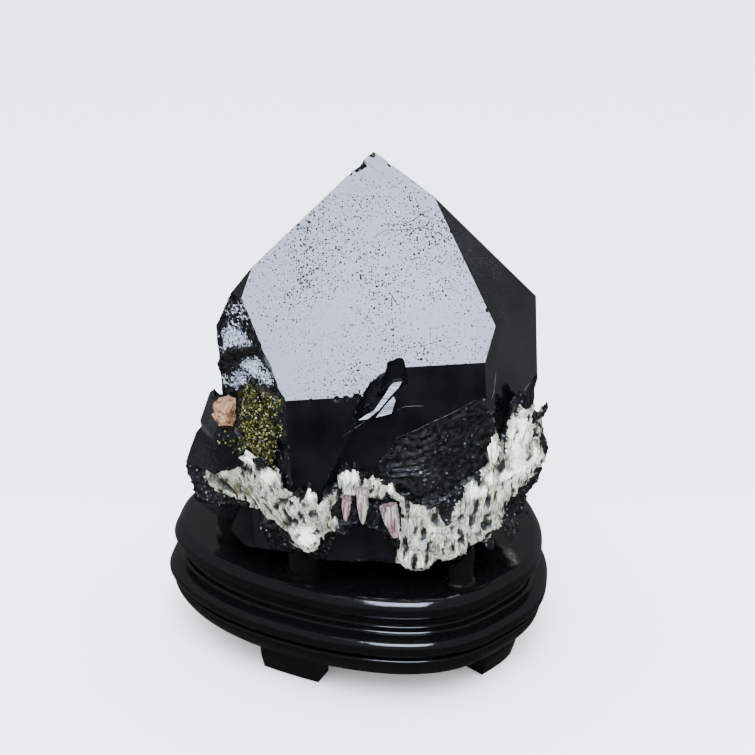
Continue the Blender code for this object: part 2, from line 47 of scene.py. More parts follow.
# Camera and studio
# The photograph looks 23 degrees down on the stone from about half a metre. A soft panel above and behind
# the camera is what the large front face mirrors; the floor is pale paper, and the dark cloth in front of it
# is a painted reflection that only glossy surfaces see in the floor.
FOCAL_LENGTH = 76.29
CAMERA_PLACE = Vector((7.72, -551.1, 339.94)) * MM
CAMERA_DOWN = math.radians(23)


def new_object(name, data):
    obj = bpy.data.objects.new(name, data)
    bpy.context.scene.collection.objects.link(obj)
    return obj


camera = new_object("camera", bpy.data.cameras.new("camera"))
camera.data.lens = FOCAL_LENGTH
camera.location = CAMERA_PLACE
camera.rotation_euler = (math.radians(90) - CAMERA_DOWN, 0, 0)
bpy.context.scene.camera = camera

PHOTO_SIDE = 755
FOCAL_PIXELS = FOCAL_LENGTH / camera.data.sensor_width * PHOTO_SIDE
CAMERA_TURN = camera.rotation_euler.to_matrix()
LOOKING_BACK = CAMERA_TURN.transposed()


def in_photo(point):
    """Where a point falls in the photograph's frame, in pixels from its top left corner."""
    local = LOOKING_BACK @ (point - CAMERA_PLACE)
    return Vector((local.x, -local.y)) * (FOCAL_PIXELS / -local.z) + Vector((PHOTO_SIDE, PHOTO_SIDE)) / 2


def sight_line(u, v):
    """Direction in which the camera sees a pixel of the photograph."""
    return (CAMERA_TURN @ Vector((u - PHOTO_SIDE / 2, PHOTO_SIDE / 2 - v, -FOCAL_PIXELS))).normalized()


def colour(code):
    """Linear colour of an sRGB hex code."""
    parts = [int(code[i:i + 2], 16) / 255 for i in (1, 3, 5)]
    return [*(p / 12.92 if p <= 0.04045 else ((p + 0.055) / 1.055) ** 2.4 for p in parts), 1.0]


def add(tree, kind, inputs=(), **settings):
    """Add a node with its settings; inputs are values, output sockets, or nodes for their first output."""
    node = tree.nodes.new(kind)
    for key, value in settings.items():
        setattr(node, key, value)
    for key, value in dict(inputs).items():
        if isinstance(value, bpy.types.Node):
            value = value.outputs[0]
        if isinstance(value, bpy.types.NodeSocket):
            tree.links.new(value, node.inputs[key])
        else:
            node.inputs[key].default_value = value
    return node


def new_material(name):
    material = bpy.data.materials.new(name)
    material.use_nodes = True
    material.node_tree.nodes.clear()
    return material, material.node_tree


def mesh_of(bm, name):
    """Mesh of a finished bmesh, which is freed."""
    mesh = bpy.data.meshes.new(name)
    bm.to_mesh(mesh)
    bm.free()
    return mesh


# A colour mix node's two colours and its result have these places among its sockets.
ONE, OTHER, MIXED = 6, 7, 2

# The photographer's panel is white cloth lit from behind, a little brighter in the middle.
PANEL_WIDTH = 0.64
PANEL_HEIGHT = 0.86
PANEL_DROP = 0.12
PANEL_DISTANCE = 1.2
FACE_MIDDLE = Vector((8, -29, 148)) * MM
FACE_MIRROR_WAY = Vector((-0.017, -0.4815, 0.877))
PANEL_GLOW = 25.0

panel_material, tree = new_material("softbox_cloth")
place = add(tree, "ShaderNodeTexCoord").outputs["Object"]
centred = add(tree, "ShaderNodeMapping", {
    "Vector": place, "Location": (-0.10, -0.02, 0), "Scale": (2.2, 2.2, 1)})
fade = add(tree, "ShaderNodeTexGradient", {"Vector": centred}, gradient_type="SPHERICAL")
glow = add(tree, "ShaderNodeMapRange", {
    "Value": fade.outputs[1], "To Min": PANEL_GLOW * 0.72, "To Max": PANEL_GLOW * 1.35})
shine = add(tree, "ShaderNodeEmission", {"Color": colour("#d6e4fb"), "Strength": glow})
add(tree, "ShaderNodeOutputMaterial", {"Surface": shine})

bm = bmesh.new()
bmesh.ops.create_grid(bm, x_segments=1, y_segments=1, size=0.5)
bmesh.ops.scale(bm, vec=(PANEL_WIDTH, PANEL_HEIGHT, 1), verts=bm.verts)
bmesh.ops.translate(bm, vec=(0, -PANEL_DROP, 0), verts=bm.verts)
panel = new_object("softbox", mesh_of(bm, "softbox"))
panel.location = FACE_MIDDLE + FACE_MIRROR_WAY * PANEL_DISTANCE
panel.rotation_euler = FACE_MIRROR_WAY.to_track_quat("Z", "Y").to_euler()
panel.visible_camera = False
panel.data.materials.append(panel_material)

# The room is pale for the eye, but the black gloss mirrors it as dark as the photograph shows.
SKY_FOR_CAMERA = 13.0
SKY_FOR_MATT = 4.0
SKY_FOR_GLOSS = 0.27
world = bpy.data.worlds.new("studio")
bpy.context.scene.world = world
world.use_nodes = True
tree = world.node_tree
tree.nodes.clear()
path = add(tree, "ShaderNodeLightPath")
indoors = add(tree, "ShaderNodeMix", {
    "Factor": path.outputs["Is Glossy Ray"], "A": SKY_FOR_MATT, "B": SKY_FOR_GLOSS})
strength = add(tree, "ShaderNodeMix", {
    "Factor": path.outputs["Is Camera Ray"], "A": indoors, "B": SKY_FOR_CAMERA})
sky = add(tree, "ShaderNodeBackground", {"Color": colour("#f4f6fa"), "Strength": strength})
add(tree, "ShaderNodeOutputWorld", {"Surface": sky})

# Pale paper for the eye; to glossy surfaces it is a painted reflection of the dark cloth that lay in front
# of the stand: a faint glow, darkest in front and brighter towards the back.
floor_material, tree = new_material("pale_paper_floor")
path = add(tree, "ShaderNodeLightPath")
place = add(tree, "ShaderNodeSeparateXYZ", {"Vector": add(tree, "ShaderNodeTexCoord").outputs["Object"]})
# From 0.095 m to 0.125 m along Y the paper turns a shade greyer, and stays so further back.
far_floor_share = add(tree, "ShaderNodeMapRange", {"Value": place.outputs["Y"], "From Min": 0.095, "From Max": 0.125})
paper_tone = add(tree, "ShaderNodeMix", {
    "Factor": far_floor_share, ONE: colour("#fbfbf8"), OTHER: colour("#eff1f3")}, data_type="RGBA")
paper = add(tree, "ShaderNodeBsdfDiffuse", {"Color": paper_tone.outputs[MIXED]})
# Painted reflection: an unlit glow that glossy rays see in place of the lit paper.
painted_reflection_strength = add(tree, "ShaderNodeMapRange", {
    "Value": place.outputs["Y"], "From Min": -0.10, "From Max": 0.16, "To Min": 0.010, "To Max": 0.20})
cloth = add(tree, "ShaderNodeEmission", {"Color": colour("#f4f6fa"), "Strength": painted_reflection_strength})
surface = add(tree, "ShaderNodeMixShader", {0: path.outputs["Is Glossy Ray"], 1: paper, 2: cloth})
add(tree, "ShaderNodeOutputMaterial", {"Surface": surface})

FLOOR_RADIUS = 9.0
FLOOR_DROP = (0, 0, -0.0001)
bm = bmesh.new()
low = Matrix.Translation(FLOOR_DROP)
bmesh.ops.create_circle(bm, cap_ends=True, segments=96, radius=FLOOR_RADIUS, matrix=low)
floor = new_object("floor", mesh_of(bm, "floor"))
floor.data.materials.append(floor_material)

# Morion quartz
# One natural quartz crystal, black from radiation. Its growth faces are flat and glassy, pitted on the
# front; where it broke from the rock its surface is rough. The broken parts are refined and roughened here.
STONE_SEAT = Vector((10.72, -8.85, 71.8))
STONE_LEAN = [math.radians(angle) for angle in (-2.53, -2.88, 1.78)]
STONE_FRAME = Matrix.Translation(STONE_SEAT) @ Euler(STONE_LEAN).to_matrix().to_4x4()
INTO_STONE = STONE_FRAME.inverted()
GRAIN = 1.1 * MM
GROWTH_FACE, PRISM_FACE, BROKEN = 0, 1, 2

# Growth faces by azimuth round the long axis (0 in front, growing to the right) and distance in mm from
# the stone's origin. The left flank, at -60, broke away, so it has no prism face here.
FACE_TO_AXIS = math.radians(38.21)
TERMINATION = ((0, 64.9), (60, 80.1), (120, 80.0), (180, 88.0), (-120, 77.3), (-60, 88.5))
PRISM = ((0, 45.0), (0, 39.1), (60, 50.4), (120, 50.2), (180, 45.0), (-120, 50.0))

# The smaller crystals: foot, lean in degrees, radius, height (mm), and seed for their uneven faces.
SIDE_CRYSTALS = (
    ((-49, 10, -24), (-6, 2), 15.5, 66, 3),
    ((-57, 14, -22), (-14, 6), 18.0, 42, 5),
    ((-44, -8, -24), (-20, -16), 17.0, 28, 8),
    ((46, 14, -24), (9, 6), 17.0, 46, 11),
    ((46, 3, -12), (10, -4), 11.0, 37, 26),
    ((18, 40, -24), (4, 18), 15.0, 52, 14),
    ((-22, 40, -24), (-8, 24), 16.0, 38, 17),
    ((2, 44, -24), (0, 32), 13.0, 26, 21),
)


def facing(azimuth):
    angle = math.radians(azimuth)
    return Vector((math.sin(angle), -math.cos(angle), 0.0))


def rhombohedral(azimuth):
    return facing(azimuth) * math.cos(FACE_TO_AXIS) + Vector((0, 0, math.sin(FACE_TO_AXIS)))


def growth_planes():
    """Every growth face as (outward normal, distance, material index), in the stone's frame."""
    planes = [(rhombohedral(azimuth), distance, GROWTH_FACE) for azimuth, distance in TERMINATION]
    planes += [(facing(azimuth), distance, PRISM_FACE) for azimuth, distance in PRISM]
    for foot, lean, radius, height, seed in SIDE_CRYSTALS:
        chance = random.Random(seed)
        own = []
        for azimuth in range(0, 360, 60):
            own.append((facing(azimuth), radius * chance.uniform(0.84, 1.08), PRISM_FACE))
            distance = height * math.sin(FACE_TO_AXIS) * chance.uniform(0.93, 1.12)
            own.append((rhombohedral(azimuth), distance, GROWTH_FACE))
        angles = (-lean[1], lean[0], chance.uniform(0, 60))
        turn = Euler([math.radians(angle) for angle in angles]).to_matrix()
        for normal, distance, kind in own:
            way = turn @ normal
            planes.append((way, distance + way.dot(Vector(foot)), kind))
    return planes


def merged_copy(name):
    """Clean bmesh of a CAD node, whose own mesh is loose triangles."""
    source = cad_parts[name].data
    bm = bmesh.new()
    verts = [bm.verts.new(vert.co) for vert in source.vertices]
    for polygon in source.polygons:
        bm.faces.new([verts[i] for i in polygon.vertices])
    bmesh.ops.remove_doubles(bm, verts=bm.verts, dist=2e-6)
    return bm


def split_faces(points, faces, kinds, longest):
    """Halve every edge of the broken triangles that is longer than longest, until none is left."""
    while True:
        middles = {}
        for face, kind in zip(faces, kinds):
            if kind == BROKEN:
                for a, b in zip(face, face[1:] + face[:1]):
                    key = (min(a, b), max(a, b))
                    if key not in middles and (points[a] - points[b]).length > longest:
                        middles[key] = len(points)
                        points.append((points[a] + points[b]) / 2)
        if not middles:
            return faces, kinds
        new_faces, new_kinds = [], []
        for face, kind in zip(faces, kinds):
            loop = []
            for a, b in zip(face, face[1:] + face[:1]):
                loop.append(a)
                middle = middles.get((min(a, b), max(a, b)))
                if middle is not None:
                    loop.append(middle)
            if kind != BROKEN or len(loop) == 3:
                parts = [loop]
            elif len(loop) == 4:
                turn = next(i for i in range(4) if loop[i] not in face)
                a, b, c, d = loop[turn:] + loop[:turn]
                parts = [[a, b, c], [a, c, d]]
            elif len(loop) == 5:
                turn = next(i for i in range(5) if loop[i] in face and loop[i - 1] not in face
                            and loop[(i + 1) % 5] not in face)
                a, b, c, d, e = loop[turn:] + loop[:turn]
                if (points[b] - points[d]).length < (points[c] - points[e]).length:
                    parts = [[a, b, e], [b, c, d], [b, d, e]]
                else:
                    parts = [[a, b, e], [b, c, e], [c, d, e]]
            else:
                a, b, c, d, e, f = loop if loop[0] in face else loop[1:] + loop[:1]
                parts = [[a, b, f], [b, c, d], [d, e, f], [b, d, f]]
            new_faces += parts
            new_kinds += [kind] * len(parts)
        faces, kinds = new_faces, new_kinds


def refine(bm, longest):
    """The same surface with its broken faces made of triangles no longer than longest."""
    bm.verts.index_update()
    points = [vert.co.copy() for vert in bm.verts]
    faces = [[vert.index for vert in face.verts] for face in bm.faces]
    kinds = [face.material_index for face in bm.faces]
    bm.free()
    faces, kinds = split_faces(points, faces, kinds, longest)
    bm = bmesh.new()
    verts = [bm.verts.new(point) for point in points]
    for face, kind in zip(faces, kinds):
        bm.faces.new([verts[i] for i in face]).material_index = kind
    return bm


def ridged(point, octaves):
    """Broken relief between -1 and 1 with sharp crests."""
    total, size = 0.0, 1.0
    for octave in range(octaves):
        total += (1 - 2 * abs(noise.noise(point * 2 ** octave + Vector((octave * 7.1, 3.3, 1.7))))) * size
        size *= 0.5
    return total - 1.0


def place_piece(mesh, name, materials, slot, *nodes):
    """Make a mesh a finished piece of the specimen that stands for the named CAD nodes."""
    piece = new_object(name, mesh)
    if not mesh.materials:
        for material in materials:
            mesh.materials.append(material)
    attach(piece, "root")
    if nodes:
        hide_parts(*nodes)


# Nicks along the edges of the front face: place in the stone's frame and radius, in mm.
CHIPS = (
    ((-3.9, 8.4, 116.3), 2.9), ((-7.6, 6.6, 114.0), 2.1), ((1.6, 11.0, 119.4), 1.5),
    ((8.0, 8.4, 115.9), 1.7), ((-12.0, 4.4, 111.2), 1.2), ((-17.2, 1.2, 107.2), 1.5),
    ((-22.0, -1.4, 103.8), 1.0), ((-26.6, -2.7, 102.2), 1.6), ((-31.5, -5.8, 98.2), 1.0),
    ((-37.0, -8.4, 94.8), 1.4), ((-41.7, -11.1, 91.5), 1.1), ((-46.1, -13.7, 88.2), 1.8),
    ((14.8, 4.7, 111.0), 0.8), ((27.4, -8.6, 94.0), 0.8), ((38.4, -27.2, 70.4), 0.9),
    ((-8.8, -45.2, 47.4), 1.7), ((-12.4, -45.2, 47.2), 1.2), ((-16.0, -45.2, 47.3), 1.3),
    ((-25.0, -45.2, 47.6), 0.9),
)


def as_object(bm, name):
    """Temporary object of a bmesh, for a modifier to work on."""
    return new_object(name, mesh_of(bm, name))


def modified(obj):
    """Bmesh of a temporary object with its modifiers applied; the object is removed."""
    graph = bpy.context.evaluated_depsgraph_get()
    mesh = bpy.data.meshes.new_from_object(obj.evaluated_get(graph))
    bpy.data.objects.remove(obj)
    bm = bmesh.new()
    bm.from_mesh(mesh)
    return bm


# The torn notch at the foot of the front face, its bright sliver and wedge, as outlines of pixels. Each is
# cut along the camera's sight lines, down to a plane given by its normal and distance in the stone.
NOTCH = (
    (376, 397), (380, 391), (384, 375), (388, 361.5), (393, 360), (397, 357.5), (403, 359), (405.5, 366),
    (407, 375), (408.5, 384), (399, 389), (388, 399),
)
SLIVER = (
    (393, 383), (402, 381.5), (399, 387), (393, 393.5), (386, 401.5), (379, 410), (368, 419), (358, 420.5),
    (366, 415), (374, 410.5), (380, 402), (386, 393), (390, 386),
)
WEDGE = ((393.5, 396.5), (395.5, 400), (391.5, 413.5), (376, 417.5), (385, 405.5))
NOTCH_FLOOR = (facing(0), 35.5)
SLIVER_FACE = (rhombohedral(0), 59.6)
WEDGE_FACE = (rhombohedral(0), 58.6)
FRACTURE = ((394, 441), (412, 433), (430, 424), (448, 416), (464, 408), (478, 399), (490, 396), (500, 420),
            (500, 455), (484, 500), (440, 510), (402, 500), (384, 486), (378, 462))
FRACTURE_FLOOR = (facing(0), 38.2)
IN_FRONT = (rhombohedral(0), 74.0)
TORN_AREA = (354, 356, 411, 423)

# A face is a growth face if it lies in one's plane, to OFF_PLANE in mm, and faces as it does. Splinters
# of the cuts, under SPLINTER_AREA, count by where they lie.
SAME_WAY = 0.9998
OFF_PLANE = 0.08
SPLINTER_AREA = 2.0 * MM * MM


def skin(bm, rings):
    """Closed skin over a row of rings of vertices, with a face at each end."""
    count = len(rings[0])
    faces = [bm.faces.new(rings[0]), bm.faces.new(rings[-1])]
    for one, two in zip(rings, rings[1:]):
        for i in range(count):
            j = (i + 1) % count
            faces.append(bm.faces.new((one[i], one[j], two[j], two[i])))
    bmesh.ops.recalc_face_normals(bm, faces=faces)


def sight_prism(bm, pixels, front, back):
    """Closed prism along the sight lines through some pixels, between two planes of the stone's frame."""
    loops = []
    for normal, distance in (front, back):
        way = STONE_FRAME.to_3x3() @ normal
        on_plane = (STONE_FRAME @ (normal * distance)) * MM
        rays = [sight_line(u, v) for u, v in pixels]
        depth = (on_plane - CAMERA_PLACE).dot(way)
        loops.append([bm.verts.new(CAMERA_PLACE + ray * (depth / ray.dot(way))) for ray in rays])
    skin(bm, loops)


def cut_from(obj, tool):
    """Take a tool object away from another with a Boolean, and remove both."""
    cut = obj.modifiers.new("cut", "BOOLEAN")
    cut.object = tool
    cut.operation = "DIFFERENCE"
    cut.solver = "EXACT"
    bm = modified(obj)
    bpy.data.objects.remove(tool)
    return bm


bm = bmesh.new()
for number, (centre, radius) in enumerate(CHIPS):
    ball = bmesh.ops.create_icosphere(bm, subdivisions=2, radius=1.0)["verts"]
    for vert in ball:
        bump = 1 + 0.35 * noise.noise(vert.co * 1.6 + Vector((number * 3.1, 0, 5)))
        vert.co = (STONE_FRAME @ (Vector(centre) + vert.co * radius * bump)) * MM
nicks = as_object(bm, "nicks")
bm = merged_copy("morion_quartz")
quartz_tree = BVHTree.FromBMesh(bm)
bm = cut_from(as_object(bm, "stone"), nicks)
TEARS = ((FRACTURE, FRACTURE_FLOOR), (NOTCH, NOTCH_FLOOR), (SLIVER, SLIVER_FACE), (WEDGE, WEDGE_FACE))
for pixels, floor_plane in TEARS:
    tool = bmesh.new()
    sight_prism(tool, pixels, IN_FRONT, floor_plane)
    bm = cut_from(as_object(bm, "stone"), as_object(tool, "tear"))
bmesh.ops.remove_doubles(bm, verts=bm.verts, dist=5e-6)
bmesh.ops.dissolve_limit(bm, angle_limit=0.008, verts=bm.verts, edges=bm.edges)
planes = growth_planes()
planes += [(*NOTCH_FLOOR, PRISM_FACE), (*SLIVER_FACE, GROWTH_FACE), (*WEDGE_FACE, GROWTH_FACE)]
for face in bm.faces:
    way = INTO_STONE.to_3x3() @ face.normal
    face.material_index = BROKEN
    corners = [INTO_STONE @ (vert.co / MM) for vert in face.verts]
    for normal, distance, kind in planes:
        thin = face.calc_area() < SPLINTER_AREA and abs(normal.dot(way)) > 0.2
        on_it = all(abs(normal.dot(corner) - distance) < OFF_PLANE for corner in corners)
        if on_it and (thin or normal.dot(way) > SAME_WAY):
            face.material_index = kind
    spot = in_photo(face.calc_center_median())
    torn = TORN_AREA[0] < spot.x < TORN_AREA[2] and TORN_AREA[1] < spot.y < TORN_AREA[3]
    if face.material_index == BROKEN and torn and face.normal.dot(CAMERA_PLACE - face.verts[0].co) > 0:
        face.material_index = PRISM_FACE
bmesh.ops.triangulate(bm, faces=[face for face in bm.faces if face.material_index == BROKEN])
bm = refine(bm, GRAIN)
bm.normal_update()

# Shades of the broken surfaces, as patches of the photograph's frame: pixel, radius in pixels, then how
# frosted and how olive the surface is there; the frost is shown as painted glints, pale bluish grains. The
# arch is a black ridge that crosses the left flank.
FLANK_PATCHES = (
    (236, 312, 16, 0.3), (230, 338, 15, 0.92), (240, 345, 10, 0.85), (224, 350, 8, 0.85),
    (243, 328, 8, 0.12), (214, 365, 8, 0.3, 0.3), (270, 358, 9, 0.55), (277, 374, 7, 0.45),
    (250, 368, 13, 0.92), (262, 378, 10, 0.7), (236, 380, 13, 0.62), (222, 380, 9, 0.45, 0.1),
    (255, 400, 16, 0.1, 0.95), (243, 394, 9, 0.05, 0.9), (270, 404, 12, 0.08, 0.75),
    (262, 418, 16, 0.15, 0.9), (242, 414, 11, 0.1, 0.85), (272, 432, 12, 0.12, 0.8),
    (246, 428, 10, 0.05, 0.5), (258, 440, 11, 0.75, 0.15), (230, 432, 12, 0.04, 0.35),
    (222, 440, 9, 0.08, 0.6), (238, 446, 9, 0.15, 0.6), (186, 434, 6, 0.5), (210, 440, 9, 0.15, 0.2),
    (428, 475, 16, 0.14, 0.25), (412, 372, 7, 0.3, 0.1),
)
ARCH = [Vector(spot) for spot in (
    (218, 372), (221, 360), (228, 352), (238, 351), (248, 350), (258, 352), (266, 358), (271, 368),
    (277, 382), (283, 398),
)]
ARCH_HEIGHT = 1.7
ARCH_HALF_WIDTH = 3.6
FRACTURE_MIDDLE = Vector((392, 372))
RIPPLE_STEP = 9.0
FLANK_EDGE = 292
FLANK_FOOT = 0.07


def near_line(point, line):
    """Distance of a point from a polyline."""
    best = 1e9
    for a, b in zip(line, line[1:]):
        t = max(0.0, min(1.0, (point - a).dot(b - a) / (b - a).length_squared))
        best = min(best, (point - a.lerp(b, t)).length)
    return best


def painted(spot, patches, start):
    """The start values overlaid by the patches that a spot of the photograph lies in; one left out is 0."""
    values = start
    for u, v, radius, *own in patches:
        away = math.hypot(spot.x - u, spot.y - v)
        if away < radius:
            share = min(1.0, 1.7 * (1 - away / radius))
            own += [0.0] * (len(start) - len(own))
            values = [a + (b - a) * share for a, b in zip(values, own)]
    return values


def seen(vert):
    """Whether the camera could see a vertex, from the way its surface faces."""
    return vert.normal.dot(CAMERA_PLACE - vert.co) > 0


# Each flat face keeps the number of its plane, so that the nicks' rims stay in it and it is shaded flat.
LONE_FACET = len(planes)
ON_PLANE = 0.1
PLANE_PULL = 0.01
flat_plane = bm.faces.layers.int.new("plane")
for face in bm.faces:
    face[flat_plane] = -1
    if face.material_index != BROKEN:
        middle = INTO_STONE @ (face.verts[0].co / MM)
        way = INTO_STONE.to_3x3() @ face.normal
        best = max(range(len(planes)), key=lambda i: planes[i][0].dot(way)
                   - abs(planes[i][0].dot(middle) - planes[i][1]) * PLANE_PULL)
        normal, distance, _ = planes[best]
        on_best = all(
            abs(normal.dot(INTO_STONE @ (vert.co / MM)) - distance) < ON_PLANE for vert in face.verts)
        face[flat_plane] = best if on_best else LONE_FACET

# Relief of the broken surfaces in mm, with the arch and the olive hollow on the left flank, and ripples
# round the point that the front fracture spread from.
BASE_FROST_AND_GLINT = 0.02
frost_and_painted_glint = bm.verts.layers.float.new("frost_and_painted_glint")
green = bm.verts.layers.float.new("green")
growth = bm.verts.layers.float.new("growth")
outward = bm.verts.layers.float_vector.new("way")
for vert in bm.verts:
    if all(face.material_index != BROKEN for face in vert.link_faces):
        continue
    place = vert.co / MM
    spot = in_photo(vert.co)
    push = ridged(place * 0.09, 2) * 0.8 + ridged(place * 0.33, 3) * 0.42 + noise.noise(place * 1.1) * 0.25
    vert[frost_and_painted_glint] = BASE_FROST_AND_GLINT
    if seen(vert):
        blur = noise.noise_vector(place * 0.5) * 3
        # The frost value also sets how many grains carry painted glints.
        vert[frost_and_painted_glint], vert[green] = painted(spot + blur.to_2d(), FLANK_PATCHES, (BASE_FROST_AND_GLINT, 0.0))
        if spot.x < FLANK_EDGE and vert.co.z > FLANK_FOOT:
            push = push * 1.1 - 1.0
            ridge = math.exp(-(near_line(spot, ARCH) / ARCH_HALF_WIDTH) ** 2)
            push += ARCH_HEIGHT * ridge
            vert[frost_and_painted_glint] *= 1 - min(1.0, ridge * 2.4)
        elif spot.x > FRACTURE_MIDDLE.x:
            away = (spot - FRACTURE_MIDDLE).length / RIPPLE_STEP + noise.noise(place * 0.12) * 1.2
            vert[frost_and_painted_glint], vert[green] = vert[frost_and_painted_glint] * 0.3, vert[green] * 0.4
            push = push * 0.35 + math.sin(away * math.tau) * 0.3 + ridged(place * 0.7, 2) * 0.08
    thick = vert[green] * (0.8 + 1.6 * noise.noise(place * 0.22))
    vert[growth] = max(0.0, min(1.0, thick)) if spot.x < FLANK_EDGE else 0.0
    vert[outward] = vert.normal
    shift = vert.normal * push
    flats = [face for face in vert.link_faces if face.material_index != BROKEN]
    if flats:
        chip = noise.noise_vector(place * 0.22) * 0.8 + noise.noise_vector(place * 0.9) * 0.25
        shift = chip if len({face[flat_plane] for face in flats}) == 1 else Vector()
        for face in flats:
            shift = shift - face.normal * shift.dot(face.normal)
    vert.co += shift * MM
bmesh.ops.triangulate(bm, faces=bm.faces)
bm.normal_update()
plane_ways = [STONE_FRAME.to_3x3() @ normal for normal, _, _ in planes] + [Vector()]
for face in bm.faces:
    face.smooth = True
for edge in bm.edges:
    sides = [face[flat_plane] for face in edge.link_faces]
    edge.smooth = sides[0] == sides[-1] and (0 <= sides[0] < LONE_FACET or edge.calc_face_angle(0) < 0.6)
    if sides[0] == LONE_FACET:
        edge.smooth = False
corner_ways = []
for face in bm.faces:
    corner_ways += [plane_ways[face[flat_plane]] if face[flat_plane] >= 0 else Vector()] * len(face.verts)
quartz_mesh = mesh_of(bm, "quartz")
quartz_mesh.normals_split_custom_set(corner_ways)
QUARTZ_IOR = 1.544


def crystal_face(name, pitting, striated):
    """Glassy black growth face: tiny etch pits in drifts, and on prism faces fine steps across the axis."""
    material, tree = new_material(name)
    place = add(tree, "ShaderNodeTexCoord").outputs["Object"]
    drift = add(tree, "ShaderNodeTexNoise", {
        "Vector": place, "Scale": 34.0, "Detail": 4.0, "Roughness": 0.6})
    wobble = add(tree, "ShaderNodeTexNoise", {"Vector": place, "Scale": 1500.0, "Detail": 1.0})
    ragged = add(tree, "ShaderNodeVectorMath", {
        0: wobble.outputs["Color"], "Scale": 0.0005}, operation="SCALE")
    torn = add(tree, "ShaderNodeVectorMath", {0: place, 1: ragged}, operation="ADD")
    pits = []
    for cell, few, many in ((2.3, 0.02, 0.30), (1.1, 0.14, 0.46), (0.75, 0.20, 0.50)):
        thick = add(tree, "ShaderNodeMapRange", {
            "Value": drift, "From Min": 0.36, "From Max": 0.66,
            "To Min": few * pitting, "To Max": many * pitting})
        cells = add(tree, "ShaderNodeTexVoronoi", {"Vector": torn, "Scale": 1000 / cell})
        luck = add(tree, "ShaderNodeSeparateColor", {"Color": cells.outputs["Color"]})
        radius = add(tree, "ShaderNodeMath", {0: luck, 1: thick}, operation="MULTIPLY")
        deep = add(tree, "ShaderNodeMath", {
            0: radius, 1: cells.outputs["Distance"]}, operation="SUBTRACT")
        shown = add(tree, "ShaderNodeMapRange", {"Value": deep, "From Min": 0.0, "From Max": 0.24})
        pits.append(shown)
    two = add(tree, "ShaderNodeMath", {0: pits[0], 1: pits[1]}, operation="MAXIMUM")
    pit_with_painted_shade = add(tree, "ShaderNodeMath", {0: two, 1: pits[2]}, operation="MAXIMUM")
    sheen = add(tree, "ShaderNodeMapRange", {"Value": pit_with_painted_shade, "To Min": 0.05, "To Max": 0.35})
    haze = add(tree, "ShaderNodeMapRange", {"Value": drift, "From Min": 0.35, "From Max": 0.75})
    glass = add(tree, "ShaderNodeMix", {
        "Factor": haze, ONE: colour("#040405"), OTHER: colour("#101113")}, data_type="RGBA")
    # The pits are also painted a shade darker than the glass round them: painted shade in the pits.
    tone = add(tree, "ShaderNodeMix", {
        "Factor": pit_with_painted_shade, ONE: glass.outputs[MIXED], OTHER: colour("#020202")}, data_type="RGBA")
    fall = add(tree, "ShaderNodeMath", {0: pit_with_painted_shade, 1: -1.0}, operation="MULTIPLY")
    dent = add(tree, "ShaderNodeBump", {"Height": fall, "Distance": 0.0004, "Strength": 1.0})
    swell = add(tree, "ShaderNodeTexNoise", {
        "Vector": place, "Scale": 60.0, "Detail": 4.0, "Roughness": 0.6})
    soft = add(tree, "ShaderNodeBump", {
        "Height": swell, "Distance": 0.0001, "Strength": 0.35, "Normal": dent})
    normal = soft
    if striated:
        flat = add(tree, "ShaderNodeMapping", {"Vector": place, "Scale": (20, 20, 900)})
        steps = add(tree, "ShaderNodeTexNoise", {"Vector": flat, "Scale": 1.0, "Detail": 3.0})
        normal = add(tree, "ShaderNodeBump", {
            "Height": steps, "Distance": 0.00012, "Strength": 0.5, "Normal": soft})
    shader = add(tree, "ShaderNodeBsdfPrincipled", {
        "Base Color": tone.outputs[MIXED], "Roughness": sheen, "IOR": QUARTZ_IOR,
        "Normal": normal})
    add(tree, "ShaderNodeOutputMaterial", {"Surface": shader})
    return material


pitted = crystal_face("morion_growth_face", 1.0, False)
striated = crystal_face("morion_prism_face", 0.35, True)

# Broken quartz is black glass under a skin of tiny steps. Where it is frosted, some steps are painted pale
# bluish grey as glints, a painted highlight; the rest stay dark.
broken, tree = new_material("morion_broken_surface")
place = add(tree, "ShaderNodeTexCoord").outputs["Object"]
grains = add(tree, "ShaderNodeTexVoronoi", {"Vector": place, "Scale": 1000 / 0.62})
luck = add(tree, "ShaderNodeSeparateColor", {"Color": grains.outputs["Color"]})
grit = add(tree, "ShaderNodeTexNoise", {"Vector": place, "Scale": 600.0, "Detail": 5.0, "Roughness": 0.65})
relief = add(tree, "ShaderNodeBump", {
    "Height": grains.outputs["Distance"], "Distance": 0.0004, "Strength": 0.15})
fine = add(tree, "ShaderNodeBump", {
    "Height": grit, "Distance": 0.0005, "Strength": 0.3, "Normal": relief})
sheen = add(tree, "ShaderNodeMapRange", {
    "Value": grit, "From Min": 0.3, "From Max": 0.7, "To Min": 0.28, "To Max": 0.6})
glint_share = add(tree, "ShaderNodeAttribute", attribute_name="frost_and_painted_glint")
olive = add(tree, "ShaderNodeAttribute", attribute_name="green")
worn = add(tree, "ShaderNodeMapRange", {"Value": grit, "From Min": 0.45, "From Max": 0.62})
dark = add(tree, "ShaderNodeMix", {
    "Factor": worn, ONE: colour("#050505"), OTHER: colour("#151617")}, data_type="RGBA")
leaf = add(tree, "ShaderNodeMix", {
    "Factor": luck.outputs[1], ONE: colour("#0b0c05"), OTHER: colour("#3b3a10")}, data_type="RGBA")
mossy = add(tree, "ShaderNodeMix", {
    "Factor": olive.outputs["Fac"], ONE: dark.outputs[MIXED], OTHER: leaf.outputs[MIXED]}, data_type="RGBA")
lit = add(tree, "ShaderNodeMath", {0: glint_share.outputs["Fac"], 1: luck}, operation="SUBTRACT")
pale = add(tree, "ShaderNodeMapRange", {"Value": lit, "From Min": -0.02, "From Max": 0.1})
